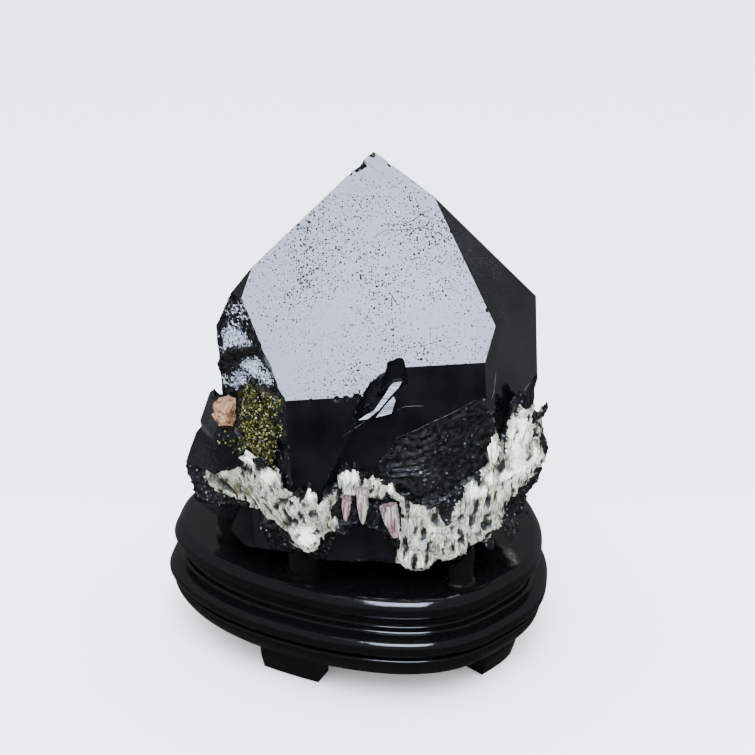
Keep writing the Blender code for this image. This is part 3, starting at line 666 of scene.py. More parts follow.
# Painted glints: pale bluish grains that stand in for highlights of the panel.
painted_glint_colour = add(tree, "ShaderNodeMix", {
    "Factor": luck.outputs[2], ONE: colour("#3f4654"), OTHER: colour("#a5aebf")}, data_type="RGBA")
tone = add(tree, "ShaderNodeMix", {
    "Factor": pale, ONE: mossy.outputs[MIXED], OTHER: painted_glint_colour.outputs[MIXED]}, data_type="RGBA")
shader = add(tree, "ShaderNodeBsdfPrincipled", {
    "Base Color": tone.outputs[MIXED], "Roughness": sheen, "IOR": QUARTZ_IOR,
    "Specular IOR Level": 0.3, "Normal": fine})
add(tree, "ShaderNodeOutputMaterial", {"Surface": shader})

place_piece(quartz_mesh, "quartz", (pitted, striated, broken), "morion", "morion_quartz")

# Hairlines and slivers on the crystal: healed cracks and torn edges. Each is a thin closed strip or plate
# that lies on the stone where the photograph shows it.
bm = bmesh.new()
bm.from_mesh(quartz_mesh)
surface_tree = BVHTree.FromBMesh(bm)
bm.free()
DARK_HAIRS = (
    ((383, 224), (400, 225), (412, 221), (424, 213), (431, 209)),
    ((374, 237), (386, 230), (400, 230), (412, 229), (424, 227), (431, 222)),
    ((314, 207), (309, 226), (303, 243)), ((388, 288), (394, 300), (399, 306)),
    ((355, 184), (359, 189)), ((364, 197), (372, 203)),
)
# The pale hairlines get the crack's painted silver shine: painted highlights along cracks and edges.
PALE_HAIRS_PAINTED_SHINE = (
    ((396, 438), (412, 432), (430, 423), (448, 415), (462, 408), (476, 400)),
    ((397, 410), (405, 406.5), (414, 406), (423, 406)),
    ((540, 372), (530, 383), (521, 394), (519, 404), (522, 416), (528, 432), (533, 446)),
    ((538, 384), (536, 396), (532, 408)), ((496, 372), (494, 392), (488, 410)),
    ((343, 436), (352, 430), (361, 424), (368, 418)),
)
SLIVER_DEPTH = 2.0
SLIVER_RISE = 0.15
STONE_DISTANCE = 0.6


def on_stone(u, v):
    """Point of the stone's surface that the photograph shows at a pixel, and the way the surface faces."""
    way = sight_line(u, v)
    hit, normal, _, _ = surface_tree.ray_cast(CAMERA_PLACE, way)
    if hit is None:
        hit, normal, _, _ = surface_tree.find_nearest(CAMERA_PLACE + way * STONE_DISTANCE)
    return hit, normal


def strip(bm, pixels, half_width, lift):
    """Closed three-sided strip along pixels, tapered to both ends."""
    rings = []
    for number, (u, v) in enumerate(pixels):
        before, after = pixels[max(number - 1, 0)], pixels[min(number + 1, len(pixels) - 1)]
        point, normal = on_stone(u, v)
        along = on_stone(*after)[0] - on_stone(*before)[0]
        side = along.cross(normal).normalized() * half_width * MM
        side *= 0.35 if number in (0, len(pixels) - 1) else 1.0
        sunk = point - normal * 0.05 * MM
        ring = (sunk - side, point + normal * lift * MM, sunk + side)
        rings.append([bm.verts.new(spot) for spot in ring])
    skin(bm, rings)


bm = bmesh.new()
for hair in DARK_HAIRS:
    strip(bm, hair, 0.22, 0.10)
place_piece(mesh_of(bm, "dark_hairlines"), "dark_hairlines", (pitted,), "morion")

# A fresh crack with air in it shines silvery; here that shine is a painted reflection, pale grey in its
# colour, combed by fine ridges along its length.
painted_silver_shine, tree = new_material("quartz_crack_painted_silver_shine")
place = add(tree, "ShaderNodeTexCoord").outputs["Object"]
combed = add(tree, "ShaderNodeMapping", {
    "Vector": place, "Rotation": (0.0, math.radians(38), 0.0), "Scale": (120, 500, 2600)})
ridges = add(tree, "ShaderNodeTexNoise", {"Vector": combed, "Scale": 1.0, "Detail": 2.0})
contrast = add(tree, "ShaderNodeMapRange", {"Value": ridges, "From Min": 0.38, "From Max": 0.62})
tone = add(tree, "ShaderNodeMix", {
    "Factor": contrast, ONE: colour("#1e2024"), OTHER: colour("#8b9299")}, data_type="RGBA")
shader = add(tree, "ShaderNodeBsdfPrincipled", {
    "Base Color": tone.outputs[MIXED], "Roughness": 0.5, "IOR": QUARTZ_IOR})
add(tree, "ShaderNodeOutputMaterial", {"Surface": shader})
bm = bmesh.new()
for hair in PALE_HAIRS_PAINTED_SHINE:
    strip(bm, hair, 0.05, 0.05)
# The sliver and the wedge are pale by painted reflection, not by mirroring the panel.
for pixels, (normal, distance) in ((SLIVER, SLIVER_FACE), (WEDGE, WEDGE_FACE)):
    sight_prism(bm, pixels, (normal, distance + SLIVER_RISE), (normal, distance - SLIVER_DEPTH))
place_piece(mesh_of(bm, "pale_slivers"), "pale_slivers", (painted_silver_shine,), "morion")

# Albite
# White cleavelandite: fine curved blades that grew out of a sugary crust round the foot of the quartz.
# The crust is the CAD solid made grainy; the blades are grown over its outer side.


def crystal_growth():
    """Node tree that grows small crystals out of a surface, along its stored direction of growth."""
    tree = bpy.data.node_groups.new("crystal_growth", "GeometryNodeTree")
    face = tree.interface
    face.new_socket("Geometry", in_out="INPUT", socket_type="NodeSocketGeometry")
    face.new_socket("Crystal", in_out="INPUT", socket_type="NodeSocketObject")
    for name in ("Per square metre", "Smallest", "Largest", "Scatter"):
        face.new_socket(name, in_out="INPUT", socket_type="NodeSocketFloat")
    face.new_socket("Seed", in_out="INPUT", socket_type="NodeSocketInt")
    face.new_socket("Material", in_out="INPUT", socket_type="NodeSocketMaterial")
    face.new_socket("Geometry", in_out="OUTPUT", socket_type="NodeSocketGeometry")
    given = add(tree, "NodeGroupInput").outputs
    growth = add(tree, "GeometryNodeInputNamedAttribute", {"Name": "growth"}, data_type="FLOAT")
    density = add(tree, "ShaderNodeMath", {0: given["Per square metre"], 1: growth}, operation="MULTIPLY")
    points = add(tree, "GeometryNodeDistributePointsOnFaces", {
        "Mesh": given["Geometry"], "Density": density, "Seed": given["Seed"]})
    way = add(tree, "GeometryNodeInputNamedAttribute", {"Name": "way"}, data_type="FLOAT_VECTOR")
    stray = add(tree, "FunctionNodeRandomValue", {
        0: (-1, -1, -1), 1: (1, 1, 1), "Seed": given["Seed"]}, data_type="FLOAT_VECTOR")
    lean = add(tree, "ShaderNodeVectorMath", {0: stray, "Scale": given["Scatter"]}, operation="SCALE")
    along = add(tree, "ShaderNodeVectorMath", {0: way, 1: lean}, operation="ADD")
    stand_up = add(tree, "FunctionNodeAlignRotationToVector", {"Vector": along}, axis="Z")
    angle = add(tree, "FunctionNodeRandomValue", {
        2: 0.0, 3: math.tau, "Seed": given["Seed"]}, data_type="FLOAT")
    spin = add(tree, "FunctionNodeAxisAngleToRotation", {"Axis": (0, 0, 1), "Angle": angle.outputs[1]})
    turned = add(tree, "FunctionNodeRotateRotation", {0: stand_up, 1: spin}, rotation_space="LOCAL")
    size = add(tree, "FunctionNodeRandomValue", {
        2: given["Smallest"], 3: given["Largest"], "Seed": given["Seed"]}, data_type="FLOAT")
    grown = add(tree, "GeometryNodeInstanceOnPoints", {
        "Points": points, "Rotation": turned, "Scale": size.outputs[1],
        "Instance": add(tree, "GeometryNodeObjectInfo", {"Object": given["Crystal"]}).outputs["Geometry"]})
    tint = add(tree, "FunctionNodeRandomValue", {2: 0.0, 3: 1.0, "Seed": given["Seed"]}, data_type="FLOAT")
    marked = add(tree, "GeometryNodeStoreNamedAttribute", {
        "Geometry": grown, "Name": "tint", "Value": tint.outputs[1]},
        data_type="FLOAT", domain="INSTANCE")
    real = add(tree, "GeometryNodeRealizeInstances", {"Geometry": marked})
    coated = add(tree, "GeometryNodeSetMaterial", {"Geometry": real, "Material": given["Material"]})
    add(tree, "NodeGroupOutput", {"Geometry": coated})
    return tree


GROWTH_TREE = crystal_growth()


def grow(carrier, name, values):
    """Run the growth tree on a carrier mesh and return its crystals as a plain mesh."""
    obj = new_object("carrier", carrier)
    modifier = obj.modifiers.new("growth", "NODES")
    modifier.node_group = GROWTH_TREE
    for item in GROWTH_TREE.interface.items_tree:
        if item.in_out == "INPUT" and item.name in values:
            modifier[item.identifier] = values[item.name]
    graph = bpy.context.evaluated_depsgraph_get()
    mesh = bpy.data.meshes.new_from_object(obj.evaluated_get(graph))
    obj.modifiers.remove(modifier)
    bpy.data.objects.remove(obj)
    mesh.name = name
    return mesh


def crystal_shape(name, outline, thickness):
    """Flat crystal from an outline in its own XZ plane, standing on its origin."""
    bm = bmesh.new()
    sides = (-thickness / 2 * MM, thickness / 2 * MM)
    skin(bm, [[bm.verts.new((x * MM, y, z * MM)) for x, z in outline] for y in sides])
    return as_object(bm, name)


# Cleavelandite is pearly white where its blades are fresh, grey-green and beige where they are packed and
# worn, and brown where iron stained it. Between the blades it is dark by painted shade: its tone drops in
# the hollows and grooves of the relief.
albite, tree = new_material("albite_cleavelandite")
place = add(tree, "ShaderNodeTexCoord").outputs["Object"]
tint = add(tree, "ShaderNodeAttribute", attribute_name="tint")
tone = add(tree, "ShaderNodeAttribute", attribute_name="tone")
rust = add(tree, "ShaderNodeAttribute", attribute_name="stain")
lie = add(tree, "ShaderNodeAttribute", attribute_name="lie")
fibres = add(tree, "ShaderNodeTexNoise", {
    "Vector": lie.outputs["Vector"], "Scale": 1.0, "Detail": 4.0, "Roughness": 0.65})
cloud = add(tree, "ShaderNodeTexNoise", {"Vector": place, "Scale": 260.0, "Detail": 4.0, "Roughness": 0.65})
mottle = add(tree, "ShaderNodeMapRange", {
    "Value": cloud, "From Min": 0.25, "From Max": 0.75, "To Min": -0.20, "To Max": 0.20})
# The fibre noise also bumps the blades, so their grooves are painted darker: streaks of packed blades with
# painted shade.
grain = add(tree, "ShaderNodeMapRange", {
    "Value": fibres, "From Min": 0.25, "From Max": 0.75, "To Min": -0.52, "To Max": 0.34})
own = add(tree, "ShaderNodeMapRange", {"Value": tint.outputs["Fac"], "To Min": -0.05, "To Max": 0.08})
rough = add(tree, "ShaderNodeMath", {0: mottle, 1: grain}, operation="ADD")
uneven = add(tree, "ShaderNodeMath", {0: rough, 1: own}, operation="ADD")
light = add(tree, "ShaderNodeMath", {0: tone.outputs["Fac"], 1: uneven}, operation="ADD")
ramp_node = add(tree, "ShaderNodeValToRGB", {"Fac": light})
ramp = ramp_node.color_ramp
ramp.elements[0].color = colour("#151512")
ramp.elements[1].color = colour("#faf9f5")
for position, code in ((0.22, "#3b3c33"), (0.45, "#7c7e6e"), (0.66, "#b6b8a8"), (0.86, "#e6e6dc")):
    ramp.elements.new(position).color = colour(code)
patchy = add(tree, "ShaderNodeMapRange", {"Value": cloud, "From Min": 0.40, "From Max": 0.60})
spread = add(tree, "ShaderNodeMath", {0: rust.outputs["Fac"], 1: patchy}, operation="MULTIPLY")
ochre = add(tree, "ShaderNodeMix", {
    "Factor": spread, ONE: (1, 1, 1, 1), OTHER: colour("#b08a4c")}, data_type="RGBA")
stained = add(tree, "ShaderNodeMix", {
    "Factor": 1.0, ONE: ramp_node, OTHER: ochre.outputs[MIXED]}, data_type="RGBA", blend_type="MULTIPLY")
relief = add(tree, "ShaderNodeBump", {"Height": fibres, "Distance": 0.0006, "Strength": 0.6})
shader = add(tree, "ShaderNodeBsdfPrincipled", {
    "Base Color": stained.outputs[MIXED], "Roughness": 0.38, "IOR": 1.53, "Normal": relief})
add(tree, "ShaderNodeOutputMaterial", {"Surface": shader})


def evenly_meshed(name, grain):
    """Copy of a CAD node remade from small even faces, for a surface that is rough all over."""
    obj = as_object(merged_copy(name), "even")
    remesh = obj.modifiers.new("remesh", "REMESH")
    remesh.mode = "VOXEL"
    remesh.voxel_size = grain
    return modified(obj)


ALBITE_GRAIN = 0.8 * MM
BAND_WAY = Vector((0.50, -0.50, -0.70))


def shade(bm, crease):
    """Smooth shading, with edges that bend by more than the crease angle left sharp."""
    for face in bm.faces:
        face.smooth = True
    for edge in bm.edges:
        edge.smooth = edge.calc_face_angle(0) < crease


def streaks(point, way, across, along):
    """Relief of packed blades that all lie along one way: stretched noise, in mm."""
    side = way.cross(Vector((0, 0, 1)) if abs(way.z) < 0.9 else Vector((0, 1, 0))).normalized()
    third = way.cross(side)
    place = Vector((point.dot(way) * along, point.dot(side) * across, point.dot(third) * across))
    return ridged(place, 3)


# Where the photograph shows albite: its outline in pixels. Outside it, the same crust is dark quartz rock.
ALBITE_OUTLINE = [Vector(spot) for spot in (
    (211, 443), (218, 445), (228, 450), (236, 456), (240, 453), (247, 452), (254, 460), (258, 468),
    (266, 468), (275, 466), (280, 473), (280, 483), (286, 487), (292, 494), (298, 503), (307, 502),
    (308, 496), (312, 491), (317, 499), (322, 500), (334, 495), (338, 490), (338, 473), (343, 470),
    (348, 474), (352, 468), (358, 474), (359, 485), (364, 487), (368, 481), (370, 475), (373, 472),
    (378, 472), (381, 483), (388, 485), (393, 483), (396, 494), (401, 497), (407, 502), (415, 506),
    (423, 505), (429, 511), (439, 510), (441, 518), (448, 525), (453, 522), (456, 506), (460, 506),
    (465, 500), (466, 485), (473, 477), (479, 490), (481, 488), (480, 444), (484, 437), (490, 446),
    (495, 431), (500, 437), (503, 455), (510, 457), (510, 433), (512, 410), (518, 418), (524, 407),
    (528, 412), (531, 402), (540, 406), (543, 425), (541, 440), (545, 450), (547, 460), (536, 472),
    (526, 484), (517, 496), (508, 503), (506, 512), (504, 521), (499, 529), (493, 532), (490, 530),
    (487, 539), (478, 542), (470, 550), (464, 556), (452, 560), (446, 562), (438, 564), (430, 572),
    (422, 577), (410, 582), (394, 582), (391, 570), (392, 562), (395, 553), (399, 545), (401, 535),
    (404, 524), (404, 512), (398, 502), (388, 499), (376, 500), (366, 497), (358, 495), (350, 497),
    (342, 499), (334, 505), (331, 514), (336, 520), (338, 528), (330, 533), (323, 539), (322, 548),
    (310, 552), (298, 549), (290, 541), (287, 531), (278, 527), (268, 518), (260, 512), (250, 507),
    (244, 500), (234, 498), (224, 494), (216, 492), (208, 485), (204, 476), (207, 468), (214, 468),
    (214, 460), (209, 450),
)]

# Patches of the albite in the photograph: pixel and radius, then how pale, stained, sunk (mm) and bladed.
# The low paleness of the sunk patches is painted shade in their hollows.
ALBITE_PATCHES = (
    (218, 448, 8, 0.42, 1), (227, 459, 8, 0.7, 0.3), (248, 461, 8, 0.98, 0, 0, 0.3),
    (257, 468, 5, 0.45, 0.7, 0.8, 0), (267, 477, 10, 0.97, 0), (256, 484, 7, 0.6, 0.2),
    (212, 477, 9, 0.38, 1), (223, 484, 9, 0.38, 1), (236, 488, 8, 0.36, 1), (247, 491, 7, 0.46, 0.8),
    (262, 501, 9, 0.62, 0.2), (272, 493, 8, 0.55, 0.2), (281, 513, 8, 0.62, 0.1), (294, 512, 8, 0.6, 0.2),
    (286, 523, 7, 0.16, 0.2, 0.8, 0), (307, 538, 14, 1, 0.05), (325, 519, 8, 0.62, 0.5),
    (314, 514, 6, 0.22, 0.8, 0.8, 0), (330, 527, 6, 0.48, 0.5), (312, 497, 6, 0.98, 0, 0, 0.6),
    (321, 505, 6, 0.75, 0), (243, 466, 6, 0, 0.1, 1.8, 0), (248, 472, 4, 0.05, 0.2, 1.2, 0),
    (281, 501, 6, 0, 0, 1.6, 0), (275, 507, 4, 0.05, 0, 1, 0), (290, 504, 4, 0.05, 0, 1, 0),
    (344, 478, 9, 1, 0, 0, 1), (354, 476, 8, 1, 0, 0, 1), (365, 489, 6, 0.88, 0, 0, 0.3),
    (375, 482, 8, 1, 0, 0, 1), (389, 489, 7, 0.95, 0, 0, 0.8), (350, 494, 5, 0.7, 0.2),
    (368, 495, 5, 0.66, 0.3), (384, 496, 5, 0.66, 0.4), (399, 504, 6, 0.66, 0.4), (407, 513, 6, 0.82, 0.1),
    (420, 512, 7, 0.62, 0.1), (433, 516, 7, 0.36, 0.1, 0.5, 0), (415, 527, 9, 0.6, 0.2),
    (429, 528, 8, 0.7, 0.1), (443, 534, 8, 0.58, 0), (452, 543, 8, 0.5, 0), (438, 550, 8, 0.5, 0),
    (411, 543, 8, 0.66, 0.3), (424, 550, 8, 0.66, 0.3), (404, 557, 8, 0.78, 0.3), (420, 563, 9, 0.76, 0.2),
    (402, 571, 8, 0.86, 0.1), (461, 530, 4, 0, 0, 2, 0), (461, 542, 4, 0, 0, 2, 0),
    (461, 518, 3.5, 0, 0, 1.5, 0), (457, 514, 4, 0.85, 0, 0, 0.6), (520, 430, 15, 1, 0, 0, 1),
    (518, 450, 12, 0.98, 0, 0, 0.8), (537, 430, 7, 0.6, 0, 0.8, 0.4), (491, 452, 13, 0.96, 0.05, 0, 1),
    (486, 476, 10, 0.92, 0.1, 0, 0.4), (506, 477, 9, 0.98, 0.1), (522, 467, 14, 0.95, 0.1),
    (537, 458, 8, 0.96, 0, 0, 0.3), (512, 486, 10, 0.84, 0.2), (498, 468, 4.5, 0.4, 1, 0.6, 0),
    (473, 492, 9, 0.96, 0, 0, 0.5), (486, 493, 8, 0.9, 0.05), (499, 494, 8, 0.78, 0.3),
    (478, 511, 9, 0.62, 0.15), (469, 528, 9, 0.66, 0.1), (480, 537, 8, 0.48, 0.2), (470, 545, 7, 0.55, 0.1),
    (498, 512, 8, 0.6, 0.2), (501, 524, 5, 0.6, 0.1), (488, 525, 5.5, 0, 0.1, 2, 0),
    (487, 518, 4, 0.05, 0.1, 1.2, 0),
)
ALBITE, DARK_ROCK = 0, 1
FRONT_FROM, FRONT_TO = -140, 118
AGAINST_QUARTZ = 0.8 * MM
LEFT_BAND_EDGE = 330
LEFT_BLADES_EDGE = 300


def inside(spot, outline):
    """Whether a spot lies within a closed outline of pixels."""
    hit = False
    for a, b in zip(outline, outline[1:] + outline[:1]):
        if (a.y > spot.y) != (b.y > spot.y) and spot.x < (b.x - a.x) * (spot.y - a.y) / (b.y - a.y) + a.x:
            hit = not hit
    return hit


bm = evenly_meshed("albite_matrix", ALBITE_GRAIN)
bm.normal_update()
growth = bm.verts.layers.float.new("growth")
tone = bm.verts.layers.float.new("tone")
stain = bm.verts.layers.float.new("stain")
way = bm.verts.layers.float_vector.new("way")
lie = bm.verts.layers.float_vector.new("lie")
frost_and_painted_glint = bm.verts.layers.float.new("frost_and_painted_glint")
rock = {}
for vert in bm.verts:
    place = vert.co / MM
    at = INTO_STONE @ place
    # A few painted glints on the dark rock as well.
    vert[frost_and_painted_glint] = 0.03
    spot = in_photo(vert.co) + noise.noise_vector(place * 0.6).to_2d() * 2.2
    inner = quartz_tree.find_nearest(vert.co, AGAINST_QUARTZ)[0] is not None
    azimuth = math.degrees(math.atan2(at.x, -at.y))
    front = seen(vert) or FRONT_FROM < azimuth < FRONT_TO
    rock[vert] = front and not inside(spot, ALBITE_OUTLINE)
    left = spot.x < LEFT_BAND_EDGE and at.y < 20
    axis = BAND_WAY.normalized() if left else Vector((0.08, 0.0, 1.0)).normalized()
    side = axis.cross(Vector((0.6, 0.8, 0.0))).normalized()
    vert[lie] = (at.dot(axis) * 0.35, at.dot(side) * 2.6, at.dot(axis.cross(side)) * 2.6)
    relief = streaks(at, axis, 0.42, 0.10)
    pale, brown, sunk, bladed = 0.72 - 0.15 * noise.noise(place * 0.15), 0.2, 0.0, 0.5
    if front:
        pale, brown, sunk, bladed = painted(spot, ALBITE_PATCHES, (0.58, 0.2, 0.0, 0.0))
    along = Vector((at.dot(axis) * 0.13, at.dot(side) * 0.55, at.dot(axis.cross(side)) * 0.55))
    # Hollows along the blades sink the crust and darken its tone by the same amount: painted shade in the
    # hollows.
    hollow_with_painted_shade = max(0.0, noise.noise(along + Vector((7, 3, 1))) - 0.20 + noise.noise(place * 1.1) * 0.15)
    hollow_with_painted_shade *= 1 if pale < 0.9 else 0.2
    pale, sunk = pale - hollow_with_painted_shade * 2.2, sunk + hollow_with_painted_shade * 2.2
    if rock[vert]:
        relief, sunk, bladed = ridged(place * 0.4, 3) * 0.6, 1.2, 0.0
    if not inner:
        vert.co += vert.normal * (relief * 0.7 + ridged(place * 0.8, 2) * 0.22 - 0.5 - sunk) * MM
    # Raised relief is painted a little paler and sunk relief darker: painted shade.
    vert[tone] = pale + relief * 0.10
    vert[stain] = brown
    vert[growth] = 0.0 if inner else bladed
    vert[way] = (vert.normal * 0.22 + Vector((0, 0, 0.95))).normalized()
    if front and spot.x < LEFT_BLADES_EDGE:
        vert[way] = (vert.normal * 0.4 + STONE_FRAME.to_3x3() @ -BAND_WAY * 0.6).normalized()
for face in bm.faces:
    dark_corners = sum(rock[vert] for vert in face.verts)
    face.material_index = DARK_ROCK if dark_corners * 2 > len(face.verts) else ALBITE
shade(bm, 0.6)
albite_mesh = mesh_of(bm, "albite_crust")
BLADE_OUTLINE = ((-0.7, -2.0), (0.7, -2.0), (0.75, 2.0), (0.5, 3.3), (-0.2, 3.0), (-0.65, 2.4))
BLADE_THICKNESS = 0.40
blade_shape = crystal_shape("blade", BLADE_OUTLINE, BLADE_THICKNESS)
blades = grow(albite_mesh, "albite_blades", {
    "Crystal": blade_shape, "Per square metre": 240000.0, "Smallest": 0.45, "Largest": 1.3,
    "Scatter": 0.14, "Seed": 4, "Material": albite})
sugar = grow(albite_mesh, "albite_sugar", {
    "Crystal": blade_shape, "Per square metre": 420000.0, "Smallest": 0.22, "Largest": 0.5,
    "Scatter": 0.45, "Seed": 5, "Material": albite})
bpy.data.objects.remove(blade_shape)
place_piece(sugar, "albite_sugar", (albite,), "albite")
place_piece(albite_mesh, "albite_crust", (albite, broken), "albite", "albite_matrix")
place_piece(blades, "albite_blades", (albite,), "albite")

# Lepidolite, feldspar and green crust
# Small companions: pink mica books with edges striped by their sheets, a salmon feldspar cleavage block,
# and an olive druse in the hollow of the left flank.
# Mica sheets seen edge on give fine stripes, from plum through brown to a pearly pink grey.
mica, tree = new_material("lepidolite_mica")
place = add(tree, "ShaderNodeTexCoord").outputs["Object"]
streak = add(tree, "ShaderNodeMapping", {
    "Vector": place, "Rotation": (0.0, 0.16, 0.0), "Scale": (1500, 1500, 90)})
sheets = add(tree, "ShaderNodeTexNoise", {
    "Vector": streak, "Scale": 1.0, "Detail": 3.0, "Roughness": 0.6})
bands = add(tree, "ShaderNodeMapRange", {"Value": sheets, "From Min": 0.36, "From Max": 0.66})
patch = add(tree, "ShaderNodeTexNoise", {"Vector": place, "Scale": 190.0, "Detail": 3.0})
mixed = add(tree, "ShaderNodeMapRange", {"Value": patch, "From Min": 0.42, "From Max": 0.58})
plum = add(tree, "ShaderNodeMix", {
    "Factor": mixed, ONE: colour("#33201f"), OTHER: colour("#2f2822")}, data_type="RGBA")
pearl = add(tree, "ShaderNodeMix", {
    "Factor": mixed, ONE: colour("#916c75"), OTHER: colour("#9c938c")}, data_type="RGBA")
pink = add(tree, "ShaderNodeMix", {
    "Factor": bands, ONE: plum.outputs[MIXED], OTHER: pearl.outputs[MIXED]}, data_type="RGBA")
relief = add(tree, "ShaderNodeBump", {"Height": sheets, "Distance": 0.0005, "Strength": 0.8})
shader = add(tree, "ShaderNodeBsdfPrincipled", {
    "Base Color": pink.outputs[MIXED], "Roughness": 0.28, "IOR": 1.56, "Normal": relief})
add(tree, "ShaderNodeOutputMaterial", {"Surface": shader})


def roughened(name, node, grain, coarse, fine):
    """Mesh of a CAD node with an uneven surface, for a small natural piece; amounts are in mm."""
    bm = evenly_meshed(node, grain * MM)
    bm.normal_update()
    for vert in bm.verts:
        place = vert.co / MM
        relief = ridged(place * 0.3, 2) * coarse + ridged(place * 1.1, 2) * fine
        vert.co += vert.normal * (relief - coarse * 0.3) * MM
    shade(bm, 0.5)
    return mesh_of(bm, name)


for side in ("left", "middle", "right"):
    node = "lepidolite_" + side
    book = roughened(node + "_book", node, 0.35, 0.3, 0.15)
    place_piece(book, node + "_book", (mica,), "lepidolite", node)

# Salmon feldspar, dull on its worn cleavage, with brown specks of rock in it.
salmon, tree = new_material("salmon_feldspar")
place = add(tree, "ShaderNodeTexCoord").outputs["Object"]
specks = add(tree, "ShaderNodeTexNoise", {
    "Vector": place, "Scale": 420.0, "Detail": 5.0, "Roughness": 0.75})
spots = add(tree, "ShaderNodeMapRange", {"Value": specks, "From Min": 0.50, "From Max": 0.60})
wash = add(tree, "ShaderNodeTexNoise", {"Vector": place, "Scale": 150.0, "Detail": 3.0})
peach = add(tree, "ShaderNodeMix", {
    "Factor": wash, ONE: colour("#6f4a30"), OTHER: colour("#a9855e")}, data_type="RGBA")
pink = add(tree, "ShaderNodeMix", {
    "Factor": spots, ONE: peach.outputs[MIXED], OTHER: colour("#3f2617")}, data_type="RGBA")
relief = add(tree, "ShaderNodeBump", {"Height": specks, "Distance": 0.0006, "Strength": 0.8})
shader = add(tree, "ShaderNodeBsdfPrincipled", {
    "Base Color": pink.outputs[MIXED], "Roughness": 0.5, "IOR": 1.53, "Normal": relief})
add(tree, "ShaderNodeOutputMaterial", {"Surface": shader})
block = roughened("feldspar_block", "feldspar_fragment", 0.45, 0.6, 0.25)
place_piece(block, "feldspar_block", (salmon,), "feldspar", "feldspar_fragment")

# Olive druse: a crust of tiny glassy crystals, from nearly black to olive, that glint singly; the few
# brightest, yellow green, are painted glints.
druse, tree = new_material("olive_druse")
tint = add(tree, "ShaderNodeAttribute", attribute_name="tint")
olive_and_painted_glint = add(tree, "ShaderNodeValToRGB", {"Fac": tint.outputs["Fac"]})
ramp = olive_and_painted_glint.color_ramp
ramp.elements[0].color = colour("#070803")
ramp.elements[1].color = colour("#77753c")
for position, code in ((0.5, "#0f1007"), (0.74, "#202109"), (0.92, "#403d11")):
    ramp.elements.new(position).color = colour(code)
shader = add(tree, "ShaderNodeBsdfPrincipled", {"Base Color": olive_and_painted_glint, "Roughness": 0.22, "IOR": 1.6})
add(tree, "ShaderNodeOutputMaterial", {"Surface": shader})

bm = evenly_meshed("green_crust", 0.8 * MM)
bm.normal_update()
growth = bm.verts.layers.float.new("growth")
way = bm.verts.layers.float_vector.new("way")
for vert in bm.verts:
    vert.co += vert.normal * (ridged(vert.co / MM * 0.5, 2) * 0.5 - 0.4) * MM
    vert[growth] = 1.0
    vert[way] = vert.normal
mesh = mesh_of(bm, "green_bed")
grain_shape = crystal_shape("grain", ((-0.5, -0.3), (0.5, -0.3), (0.55, 0.5), (0.0, 1.1), (-0.5, 0.6)), 0.8)
DRUSE_VALUES = {
    "Crystal": grain_shape, "Per square metre": 3000000.0, "Smallest": 0.18, "Largest": 0.62,
    "Scatter": 0.9, "Seed": 9, "Material": druse}
crystals = grow(mesh, "green_druse", DRUSE_VALUES)
flank_crystals = grow(quartz_mesh, "flank_druse", DRUSE_VALUES)
bpy.data.objects.remove(grain_shape)
place_piece(mesh, "green_bed", (druse,), "green_crust", "green_crust")
place_piece(crystals, "green_druse", (druse,), "green_crust")
place_piece(flank_crystals, "flank_druse", (druse,), "green_crust")

# Stand
# Carved wood with many coats of black lacquer: a deck with a round nose on a moulded board, four bracket
# feet, and five turned pegs under the stone. Boards and feet follow one smooth plan.
# Many coats of lacquer rubbed flat give a wet black gloss, with a faint orange peel and a little dust.
lacquer, tree = new_material("black_lacquered_wood")
place = add(tree, "ShaderNodeTexCoord").outputs["Object"]
peel = add(tree, "ShaderNodeTexNoise", {"Vector": place, "Scale": 160.0, "Detail": 3.0})
relief = add(tree, "ShaderNodeBump", {"Height": peel, "Distance": 0.0004, "Strength": 0.25})
dust = add(tree, "ShaderNodeTexNoise", {"Vector": place, "Scale": 700.0, "Detail": 4.0})
sheen = add(tree, "ShaderNodeMapRange", {
    "Value": dust, "From Min": 0.4, "From Max": 0.8, "To Min": 0.07, "To Max": 0.2})
shader = add(tree, "ShaderNodeBsdfPrincipled", {
    "Base Color": colour("#060606"), "Roughness": sheen, "IOR": 1.52, "Normal": relief})
add(tree, "ShaderNodeOutputMaterial", {"Surface": shader})

STAND_PLAN = (
    (71.2, -6), (66.5, -27), (54, -43), (38, -55.5), (19, -59.5), (-4, -56), (-25, -47.5),
    (-45, -35.5), (-61, -20), (-71, -2), (-71.5, 13), (-67.5, 31), (-53, 48), (-22, 58.5),
    (18, 58.5), (49, 49), (65.5, 31), (70.8, 12),
)
STAND_SHIFT = Vector((0.22, -0.15))
DECK_TOP = 44.0
NOSE_RADIUS = 4.3
PLAN_STEPS = 216


def curve_point(corners, t):
    """Point and direction at a share t of a smooth curve between the middle two of four points."""
    before, start, end, after = corners
    bend = 2 * before - 5 * start + 4 * end - after
    swing = 3 * start - before - 3 * end + after
    point = 0.5 * (2 * start + (end - before) * t + bend * t * t + swing * t ** 3)
    return point, 0.5 * ((end - before) + 2 * bend * t + 3 * swing * t * t)


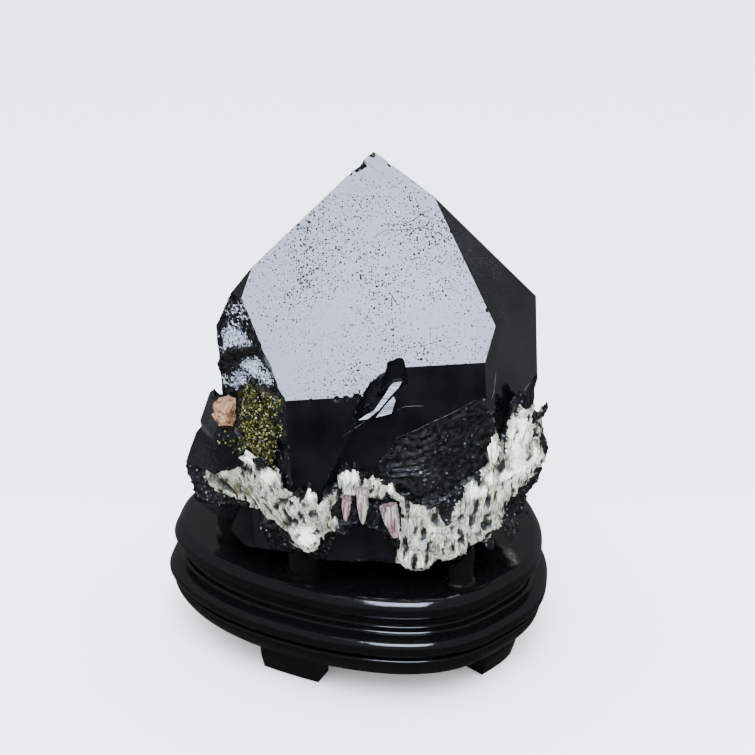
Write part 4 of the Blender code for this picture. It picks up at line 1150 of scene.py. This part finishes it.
def plan_point(share):
    """Point and outward normal on a smooth closed curve through the plan, in millimetres."""
    count = len(STAND_PLAN)
    spot = (share % 1.0) * count
    i = int(spot)
    point, along = curve_point([Vector(STAND_PLAN[(i + k) % count]) for k in (-1, 0, 1, 2)], spot - i)
    return point + STAND_SHIFT, Vector((-along.y, along.x)).normalized()


def smooth_profile(profile, cuts):
    """Round off a profile of corner points with a curve through them."""
    points = [Vector(p) for p in profile]
    ended = [points[0], *points, points[-1]]
    out = [curve_point(ended[i:i + 4], cut / cuts)[0] for i in range(len(points) - 1) for cut in range(cuts)]
    return out + [points[-1]]


def board(name, profile):
    """Board swept round the plan, with one ring for each (outset, height from the deck's top)."""
    bm = bmesh.new()
    rings = []
    for outset, height in profile:
        ring = []
        for step in range(PLAN_STEPS):
            point, outward = plan_point(step / PLAN_STEPS)
            spot = point + outward * outset
            ring.append(bm.verts.new(Vector((spot.x, spot.y, DECK_TOP + height)) * MM))
        rings.append(ring)
    skin(bm, rings)
    shade(bm, math.radians(38))
    return mesh_of(bm, name)


arc = [math.radians(90 - 7.5 * step) for step in range(25)]
nose = [((math.cos(a) - 1) * NOSE_RADIUS, (math.sin(a) - 1) * NOSE_RADIUS) for a in arc]
place_piece(board("deck", nose), "deck", (lacquer,), "black_lacquer", "stand_deck")

MOULDING = (
    (-3.2, -8.9), (-3.2, -10.0), (-4.7, -10.6), (-5.1, -11.9), (-4.5, -13.0), (-3.0, -13.4),
    (-2.3, -14.1), (-2.7, -14.9), (-1.2, -15.2), (1.2, -15.9), (2.3, -17.2), (2.6, -18.8), (2.2, -20.5),
    (0.9, -21.9), (-1.4, -22.3), (-1.4, -23.3), (0.4, -23.9), (0.6, -25.6), (-0.6, -28.6),
    (-2.8, -31.4), (-5.6, -33.0),
)
outer = smooth_profile(MOULDING, 3)
INNER_TOP = (-12.0, -8.9)
moulding = board("moulding", [INNER_TOP, *outer])
place_piece(moulding, "moulding", (lacquer,), "black_lacquer", "stand_moulding")

for name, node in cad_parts.items():
    if name.startswith("stand_foot") or name.startswith("stand_peg"):
        node.data.materials.clear()
        node.data.materials.append(lacquer)
